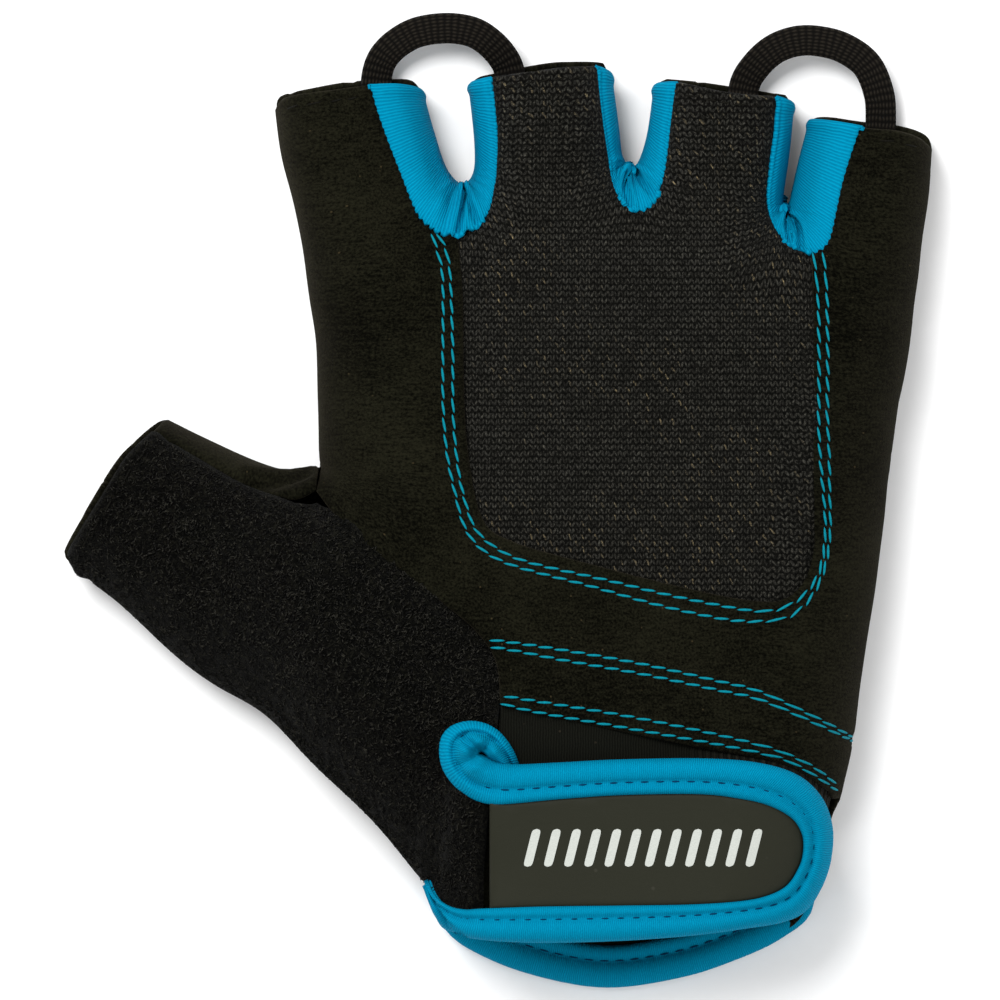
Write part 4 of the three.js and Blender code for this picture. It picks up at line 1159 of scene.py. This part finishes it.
# From under the strap, round its edge, over the stitch line, to the edge on the patch.
TAPE_ACROSS = (
    0.55, 0.3, 0.12, 0.02, 0.0, 0.04, 0.14, 0.32, 0.5, 0.6, 0.66, 0.72, 0.82, 0.93, 1.0, 1.02,
)
TAPE_LIFT = (0.6, 0.6, 0.8, 1.6, 2.9, 4.1, 5.1, 5.7, 5.6, 5.2, 4.85, 5.1, 5.45, 5.3, 4.8, 4.2)
STITCH_SHARE, STITCH_PITCH = 0.66, 2.6
STRAP_PINCH, STRAP_PINCH_WIDTH, CUFF_PINCH, CUFF_PINCH_WIDTH = 0.25, 0.07, 0.3, 0.45
TAPE_WIDTH, TAPE_GIRTH, TAPE_STEP, TAPE_WALL = 6.6, 18.0, 0.6, 0.7

tape_rows, curl_rows = np.array(STRAP_TAPE), np.array(CURL_TAPE)
edges = [np.vstack([on_sheet(tape_rows[:, k:k + 2]), photo(curl_rows[:, k:k + 2])]) for k in (0, 2)]
tape_line = smooth(np.hstack(edges), TAPE_STEP)
tape_run = run_of((tape_line[:, :2] + tape_line[:, 2:]) / 2)
tape_end = tape_run[-1]
curl_from = tape_run[np.argmin(np.abs(tape_line - np.hstack(edges)[len(tape_rows)]).sum(1))]
print("the strap's tape is", round(tape_end), "mm long and curls from", round(curl_from), "mm")


def on_tape(run, across):
    """Seen places on the strap's tape: `run` mm along it and a share across it."""
    edges = np.column_stack([np.interp(run, tape_run, column) for column in tape_line.T])
    return edges[:, :2] * (1 - across[:, None]) + edges[:, 2:] * across[:, None]


def fold_curve(points):
    """A smooth fold through the points: shares 0 to 1 of its length give places on it."""
    line = smooth(np.column_stack(points), 0.02)
    size = run_of(line)
    return lambda share: [np.interp(share * size[-1], size, column) for column in line.T]


FLANGE_FROM, FLANGE_FULL, TOP_FROM, TOP_FULL = 0.6, 0.7, 2.5, 5.0
CURL_DROP, FLANGE_DROP, INNER_DROP = 0.3, 0.5, 1.3
CURL_SWELL, CURL_SWELL_AT, CURL_SWELL_WIDTH = 0.9, 0.34, 0.18
CURL_GROOVE, CURL_GROOVE_WIDTH = 1.5, 0.05
CURL_EASE, START_EASE, END_EASE = 6.0, 5.0, 5.0
START_SHARE, END_DROP = 0.6, 3.2
CURL_FOLDS = [
    ([(476, 748), (471, 743), (464, 737)], 2.2, 0.9),
    ([(485, 747), (489, 741), (494, 736)], 2.0, 0.9),
    ([(474, 756), (467, 759), (459, 763)], 1.4, 1.0),
]


def tape_height(run, across, rise):
    """The tape's height where it starts, gathers round the pinch, and ends under itself."""
    curled = ease(run, curl_from, curl_from + CURL_EASE)
    flange = ease(across, FLANGE_FROM, FLANGE_FULL)
    on_top = ease(rise, TOP_FROM, TOP_FULL)
    drop = CURL_DROP + FLANGE_DROP * flange + INNER_DROP * ease(across, STITCH_SHARE, 1)
    drop = drop - CURL_SWELL * bell(across, CURL_SWELL_AT, CURL_SWELL_WIDTH)
    drop = drop + CURL_GROOVE * bell(across, STITCH_SHARE, CURL_GROOVE_WIDTH)
    rise = (rise - curled * drop) * mix(START_SHARE, 1, ease(run, 0, START_EASE))
    rise = rise - END_DROP * ease(run, tape_end - END_EASE, tape_end)
    places = on_tape(run, across)
    for fold, depth, width in CURL_FOLDS:
        sunk = folded_in(places, smooth(photo(fold), 0.5), depth, width)
        rise = rise + sunk * curled * (1 - flange) * on_top
    return rise


bm, share = strip_of_cloth(tape_end, TAPE_GIRTH, TAPE_STEP)
across, rise = fold_curve((np.array(TAPE_ACROSS) * TAPE_WIDTH, TAPE_LIFT))(share[:, 1])
across /= TAPE_WIDTH
run = share[:, 0] * tape_end
pinch = bell(across, STITCH_SHARE, STRAP_PINCH_WIDTH) * (rise > 3)
rise = rise - STRAP_PINCH * pinch * waves(run, STITCH_PITCH)
move_to(bm, laid(on_tape(run, across), tape_height(run, across, rise)))
finish_piece("strap_binding", bm, "strap_binding", tape_cloth, wall=TAPE_WALL,
             sheet=np.column_stack([run, share[:, 1] * TAPE_GIRTH]))

# %% Core and patch
PATCH_LEFT = photo([(489.5, 0)])[0, 0]
CORE_SHARE, CORE_TOP, CORE_WALL = 0.5, 3.3, 3.2
PATCH_SHARE, PATCH_TOP, PATCH_WALL = 0.96, 4.5, 1.1


def inside_tape(across):
    """The outline inside the tape at this share of its width, cut off straight on the left."""
    along = tape_run[tape_run < curl_from]
    line = on_tape(along, np.full(len(along), across))
    kept = line[line[:, 0] > PATCH_LEFT + 0.4]
    corners = [(PATCH_LEFT, kept[-1][1]), (PATCH_LEFT, kept[0][1])]
    return np.vstack([kept, corners])


sew("strap", inside_tape(CORE_SHARE), 1.6, even_lift(CORE_TOP), laid, terry, CORE_WALL)
sew("strap_patch", inside_tape(PATCH_SHARE), 1.2, even_lift(PATCH_TOP), laid,
    rubber, PATCH_WALL)

# %% Slanted bars printed on the patch
BAR_COUNT, BAR_PITCH, BAR_WIDTH, BAR_HEIGHT, BAR_SLANT = 12, 3.4, 1.5, 6.4, 1.6
BAR_START, PRINT_HEIGHT = (532, 846), 0.06
bm = bmesh.new()
for k in range(BAR_COUNT):
    bmesh.ops.create_grid(bm, x_segments=4, y_segments=40, size=0.5,
                          matrix=Matrix.Translation((2 * k, 0, 0)))
local = places_of(bm)
bar = np.round(local[:, 0] / 2)
local[:, 0] -= 2 * bar
wide, tall = (local * 2).T
narrow = np.clip((1 - np.abs(tall) ** 12), 0, 1) ** 0.5
x = bar * BAR_PITCH + wide * narrow * BAR_WIDTH / 2 + tall * BAR_SLANT / 2
places = photo([BAR_START]) + np.column_stack([x, tall * BAR_HEIGHT / 2])
move_to(bm, laid(places, np.full(len(places), PATCH_TOP + PRINT_HEIGHT)))
bmesh.ops.remove_doubles(bm, verts=bm.verts[:], dist=2e-5)
finish_piece("patch_print", bm, None, print_ink)

# %% Tape on the cuff's edge
CUFF_ACROSS = (-5.3, -4.9, -4.0, -3.1, -2.6, -2.1, -0.8, 0.7, 1.6, 1.95, 1.5, 0.2, -1.5, -4.2)
CUFF_LIFT = (2.6, 3.9, 4.3, 4.0, 3.5, 4.0, 4.5, 4.0, 3.1, 2.2, 0.9, 0.35, 0.3, 0.3)
CUFF_TUCK = [(0.313, 0.1), (0.318, 0.122)]
CUFF_STITCH, CUFF_GIRTH = -2.6, 20.0
# At its two ends: the share of the width that is left, and the rise towards the back.
CUFF_START, CUFF_START_RISE = 0.5, 2.4
CUFF_LAST, CUFF_LAST_RISE = 0.1, 4.0
cuff_line = spaced(smooth(np.vstack([on_sheet(PALM_HEM), on_sheet(CUFF_TUCK)])), TAPE_STEP)
cuff_length = run_of(cuff_line)[-1]
cuff_way = beside(cuff_line, -1.0) - cuff_line


def on_cuff_tape(along, out, level):
    """Points on the cuff's tape: a share along it, `out` mm beyond the hem, and a level."""
    narrow = np.minimum(
        mix(CUFF_START, 1, ease(along, 0, 0.16)), mix(1, CUFF_LAST, ease(along, 0.8, 1))
    )
    places = on_line(cuff_line, along) + on_line(cuff_way, along) * (out * narrow)[:, None]
    side = CUFF_START_RISE * (1 - ease(along, 0, 0.12)) + CUFF_LAST_RISE * ease(along, 0.86, 1)
    return np.column_stack([places, level + side])


bm, share = strip_of_cloth(cuff_length, CUFF_GIRTH, TAPE_STEP)
along = share[:, 0]
out, level = fold_curve((CUFF_ACROSS, CUFF_LIFT))(share[:, 1])
pinch = bell(out, CUFF_STITCH, CUFF_PINCH_WIDTH) * (level > 2.5)
level = level - CUFF_PINCH * pinch * waves(along * cuff_length, STITCH_PITCH)
move_to(bm, on_cuff_tape(along, out, level))
bmesh.ops.reverse_faces(bm, faces=bm.faces[:])
finish_piece("cuff_binding", bm, "cuff_binding", tape_cloth, wall=TAPE_WALL,
             sheet=np.column_stack([along * cuff_length, share[:, 1] * CUFF_GIRTH]))

# %% [markdown]
# ## Pull loops
# Two flat webbing loops come out between the fingers, to pull the glove off with. Each is a flat
# strip led along a smooth line: across, height on the sheet, and rise above its ends.

# %% Webbing loops
WEBBING_WIDTH, WEBBING_WALL, WEBBING_RISE, WEBBING_LOW = 5.2, 1.3, 2.6, 2.6
WEBBING_STEP, WEBBING_CROWN = 0.45, 0.35
LOOPS = {
    "pull_loop_index_middle": [
        (-0.123, 0.885, 0), (-0.124, 0.923, 0.1), (-0.114, 0.948, 0.5), (-0.088, 0.967, 0.9),
        (-0.057, 0.973, 1), (-0.03, 0.97, 1), (-0.012, 0.96, 0.9), (0.003, 0.944, 0.5),
        (0.01, 0.927, 0.1), (0.012, 0.895, 0),
    ],
    "pull_loop_ring_little": [
        (0.243, 0.88, 0), (0.245, 0.915, 0.1), (0.257, 0.936, 0.5), (0.275, 0.952, 0.9),
        (0.297, 0.96, 1), (0.32, 0.96, 1), (0.345, 0.953, 0.9), (0.368, 0.936, 0.6),
        (0.38, 0.908, 0.3), (0.382, 0.88, 0.1), (0.38, 0.85, 0),
    ],
}
for name, rows in LOOPS.items():
    rise = WEBBING_LOW + WEBBING_WALL / 2 + np.array(rows)[:, 2:] * WEBBING_RISE
    path = smooth(np.hstack([on_sheet(rows), rise]), 0.5)
    length = run_of(path)[-1]
    bm, share = strip_of_cloth(length, WEBBING_WIDTH, WEBBING_STEP)
    side = beside(path[:, :2], 1.0) - path[:, :2]
    across = (share[:, 1] - 0.5) * WEBBING_WIDTH
    crown = WEBBING_CROWN * (1 - (2 * share[:, 1] - 1) ** 4)
    points = on_line(path, share[:, 0])
    points += np.column_stack([on_line(side, share[:, 0]) * across[:, None], crown])
    move_to(bm, points)
    finish_piece(name, bm, name, webbing, wall=WEBBING_WALL,
                 sheet=np.column_stack([share[:, 0] * length, across]))

# %% [markdown]
# ## Stitches
# A stitch is a short soft capsule that dives into the cloth at both ends. Hundreds of them are
# needed, so one small capsule is made once, copied by arrays to every place, and joined.

# %% One stitch, and rows of them
def small_shape(bm):
    """The points and the triangles of a small shape that is copied many times."""
    bmesh.ops.triangulate(bm, faces=bm.faces[:])
    points = np.array([v.co for v in bm.verts])
    faces = np.array([[v.index for v in f.verts] for f in bm.faces])
    bm.free()
    return points, faces


bm = bmesh.new()
bmesh.ops.create_uvsphere(bm, u_segments=8, v_segments=6, radius=1.0)
stitch = small_shape(bm)


def copies(name, shape, frames, material):
    """One joined mesh of copies of a small shape. A frame is its place and three axes."""
    points, faces = shape
    placed = np.einsum("nij,pj->npi", frames[:, :, 1:], points) + frames[:, None, :, 0]
    every = faces[None] + np.arange(len(frames))[:, None, None] * len(points)
    mesh = bpy.data.meshes.new(name)
    mesh.from_pydata(to_frame(placed.reshape(-1, 3)).tolist(), [], every.reshape(-1, 3).tolist())
    mesh.shade_smooth()
    mesh.materials.append(material)
    piece = add_object(name, mesh)
    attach(piece, "root")
    print(f"{name}: {len(frames)} copies, {len(mesh.polygons)} faces")


def stitch_frames(start, end, up, thickness):
    """Frames of capsules from start to end, lying on the cloth."""
    along = (end - start) / 2
    side = unit(np.cross(up, along))
    upright = unit(np.cross(along, side))
    middle = (start + end) / 2 + upright * thickness * 0.1
    return np.stack([middle, along, side * thickness / 2, upright * thickness * 0.45], axis=2)


def stitched(line, surface, lift, pitch=2.8, length=2.75, thickness=0.46, slant=0.13):
    """A row of stitches along a line on the sheet."""
    middles = spaced(line, pitch)
    middles = (middles[1:] + middles[:-1]) / 2
    way = unit(np.diff(spaced(line, pitch), axis=0))
    way = way + left_of(way) * slant
    height = lift(middles) if callable(lift) else np.full(len(middles), lift)
    start, end = (surface(middles + way * part * length / 2, height) for part in (-1, 1))
    up = surface(middles, height + 1) - surface(middles, height)
    return stitch_frames(start, end, up, thickness)


THREAD_LIFT = 0.1
rows = [stitched(row, on_back, lambda p: suede_lift(p) + THREAD_LIFT) for row in blue_rows]
copies("stitches_back", stitch, np.vstack(rows), blue_thread)

# %% Dark stitches in the tapes
STITCH_LIFT, CUFF_STITCH_LIFT, HIDDEN_RUN = 4.8, 3.65, 7.0
TAPE_STITCH = {"pitch": STITCH_PITCH, "length": 1.6, "thickness": 0.28, "slant": 0.0}
shown = tape_run[tape_run < tape_end - HIDDEN_RUN]
share_row = np.full(len(shown), STITCH_SHARE)
seen = on_tape(shown, share_row)
lifts = tape_height(shown, share_row, STITCH_LIFT)


def closest(points, places):
    """For each place, which of the points is the closest."""
    return [np.linalg.norm(points - place, axis=1).argmin() for place in places]


along = np.linspace(0.12, 0.88, 200)
cuff_seen = on_cuff_tape(
    along, np.full(len(along), CUFF_STITCH), np.full(len(along), CUFF_STITCH_LIFT)
)


def on_cuff(places, lift):
    """Points on the cuff's stitch line, raised by `lift`."""
    return np.column_stack([places, cuff_seen[closest(cuff_seen[:, :2], places), 2] + lift])


rows = [stitched(seen, laid, lambda p: lifts[closest(seen, p)], **TAPE_STITCH),
        stitched(cuff_seen[:, :2], on_cuff, 0.0, **TAPE_STITCH)]
copies("stitches_tape", stitch, np.vstack(rows), navy_thread)

# %% Black stitches along the hems
HEM_DEPTH, HEM_THREAD_LIFT = 1.9, 0.05
HEM_STITCH = {"pitch": 2.4, "length": 1.8, "thickness": 0.3}
rows = []
for hem, height in (
    (index_hem[0], suede_lift), (middle_hem[1], knit_lift), (ring_hem[1], knit_lift),
    (little_hem[1], suede_lift), (thumb_hem[0], terry_lift),
):
    line = beside(hem, -HEM_DEPTH)[2:-2]
    rows.append(stitched(line, on_back, lambda p: height(p) + HEM_THREAD_LIFT, **HEM_STITCH))
copies("stitches_hem", stitch, np.vstack(rows), black_thread)

# %% [markdown]
# ## Loops of the terry
# Terry is covered with tiny thread loops that stand up from the ground. They break the light and
# make the outline fuzzy, which a bump alone can't. One half ring is spun, and thousands of
# copies are strewn over the cloth, each turned and tilted a little.

# %% Terry loops
LOOP_RADIUS, LOOP_THREAD = 0.34, 0.09
LOOP_COUNT, LOOP_MARGIN = 8500, 0.9
LOOP_LEAN, LOOP_SIZES, LOOP_DEPTH = 0.45, (0.7, 1.5), 0.1
SIDE_SIZE, SIDE_REACH = 0.25, 4
CORNER_SIZE, CORNER_REACH = 0.2, (2, 6)
bm = bmesh.new()
bmesh.ops.create_circle(bm, segments=3, radius=LOOP_THREAD)
bmesh.ops.spin(bm, geom=bm.verts[:] + bm.edges[:], axis=(0, 1, 0), cent=(LOOP_RADIUS, 0, 0),
               angle=math.pi, steps=3, use_duplicate=False)
bmesh.ops.holes_fill(bm, edges=bm.edges[:], sides=3)
bmesh.ops.recalc_face_normals(bm, faces=bm.faces[:])
bmesh.ops.translate(bm, verts=bm.verts[:], vec=(-LOOP_RADIUS, 0, 0))
loop = small_shape(bm)

dice = np.random.default_rng(21)
low, high = terry_outline.min(0), terry_outline.max(0)
strewn = dice.uniform(low, high, (LOOP_COUNT * 3, 2))
strewn = strewn[inside(strewn, terry_outline)]
strewn = strewn[distance(strewn, terry_outline) > LOOP_MARGIN][:LOOP_COUNT]
ground = terry_lift(strewn)
foot = on_back(strewn, ground - LOOP_DEPTH)
up = on_back(strewn, ground - LOOP_DEPTH + 1) - foot
turned = dice.uniform(0, np.pi, len(strewn))
lean = dice.normal(0, LOOP_LEAN, (len(strewn), 2))
near_side = distance(strewn, np.vstack([thumb_side, terry_hem]))
near_corner = np.linalg.norm(strewn - terry_hem[0], axis=1)
size = dice.uniform(*LOOP_SIZES, len(strewn)) * mix(SIDE_SIZE, 1, ease(near_side, 0, SIDE_REACH))
size = (size * mix(CORNER_SIZE, 1, ease(near_corner, *CORNER_REACH)))[:, None]
flat = np.column_stack([np.cos(turned), np.sin(turned), 0 * turned])
other = unit(np.cross(up, flat))
flat = np.cross(other, up)
tall = up + flat * lean[:, :1] + other * lean[:, 1:]
frames = np.stack([foot, flat * size, other * size, tall * size], axis=2)
copies("terry_fuzz", loop, frames, terry_loops)

# %% [markdown]
# ## Floor, light and camera
# The glove lies on its palm on a pale sheet of paper, and the camera looks straight down on it.
# A large soft light from the upper left gives the cloth its shape, and a bright surround keeps
# the blacks readable.

# %% Floor
FLOOR_HALF = 3.0
bm = bmesh.new()
bmesh.ops.create_grid(bm, x_segments=2, y_segments=2, size=FLOOR_HALF)
mesh = bpy.data.meshes.new("paper")
bm.to_mesh(mesh)
bm.free()
floor = add_object("paper", mesh)
paper, tree, shader, at = new_finish("paper", 0.9, 0.0, 0.1, "Object")
grain = noise(tree, at, 0.4, 3.0)
shade = tint(tree, grain, (0.93, 0.93, 0.93, 1), (0.96, 0.96, 0.96, 1))
feed(tree, shader.inputs["Base Color"], shade)
mesh.materials.append(paper)

# %% Lights
LIGHT_AIM = (0, 0, 0.02)


def soft_light(name, at, size, power):
    """A square area light at a place, aimed at the glove."""
    data = bpy.data.lights.new(name, "AREA")
    data.size, data.energy = size, power
    lamp = add_object(name, data)
    lamp.location = at
    way = Vector(LIGHT_AIM) - Vector(at)
    lamp.rotation_euler = way.to_track_quat("-Z", "Y").to_euler()


soft_light("key", (-0.4, 0.55, 1.1), 0.6, 17)
soft_light("fill", (0.8, -0.5, 0.9), 0.9, 4)
world = bpy.data.worlds.new("studio")
world.use_nodes = True
surround = world.node_tree.nodes["Background"]
surround.inputs["Color"].default_value = (1, 1, 1, 1)
surround.inputs["Strength"].default_value = 0.7
bpy.context.scene.world = world

# %% Camera straight above
CAMERA_HEIGHT, SENSOR = 3.0, 36.0
MIDDLE_HEIGHT = 13.0
camera = bpy.data.cameras.new("camera")
camera.sensor_width = SENSOR
camera.lens = SENSOR * (CAMERA_HEIGHT / MM - MIDDLE_HEIGHT) / SHEET[0]
camera.clip_end = 10.0
view = add_object("camera", camera)
view.location = (SHEET_TO_FRAME[0] * MM, SHEET_TO_FRAME[1] * MM, CAMERA_HEIGHT)
bpy.context.scene.camera = view
bpy.context.scene.view_settings.view_transform = "Standard"
print("lens", round(camera.lens, 1), "mm")
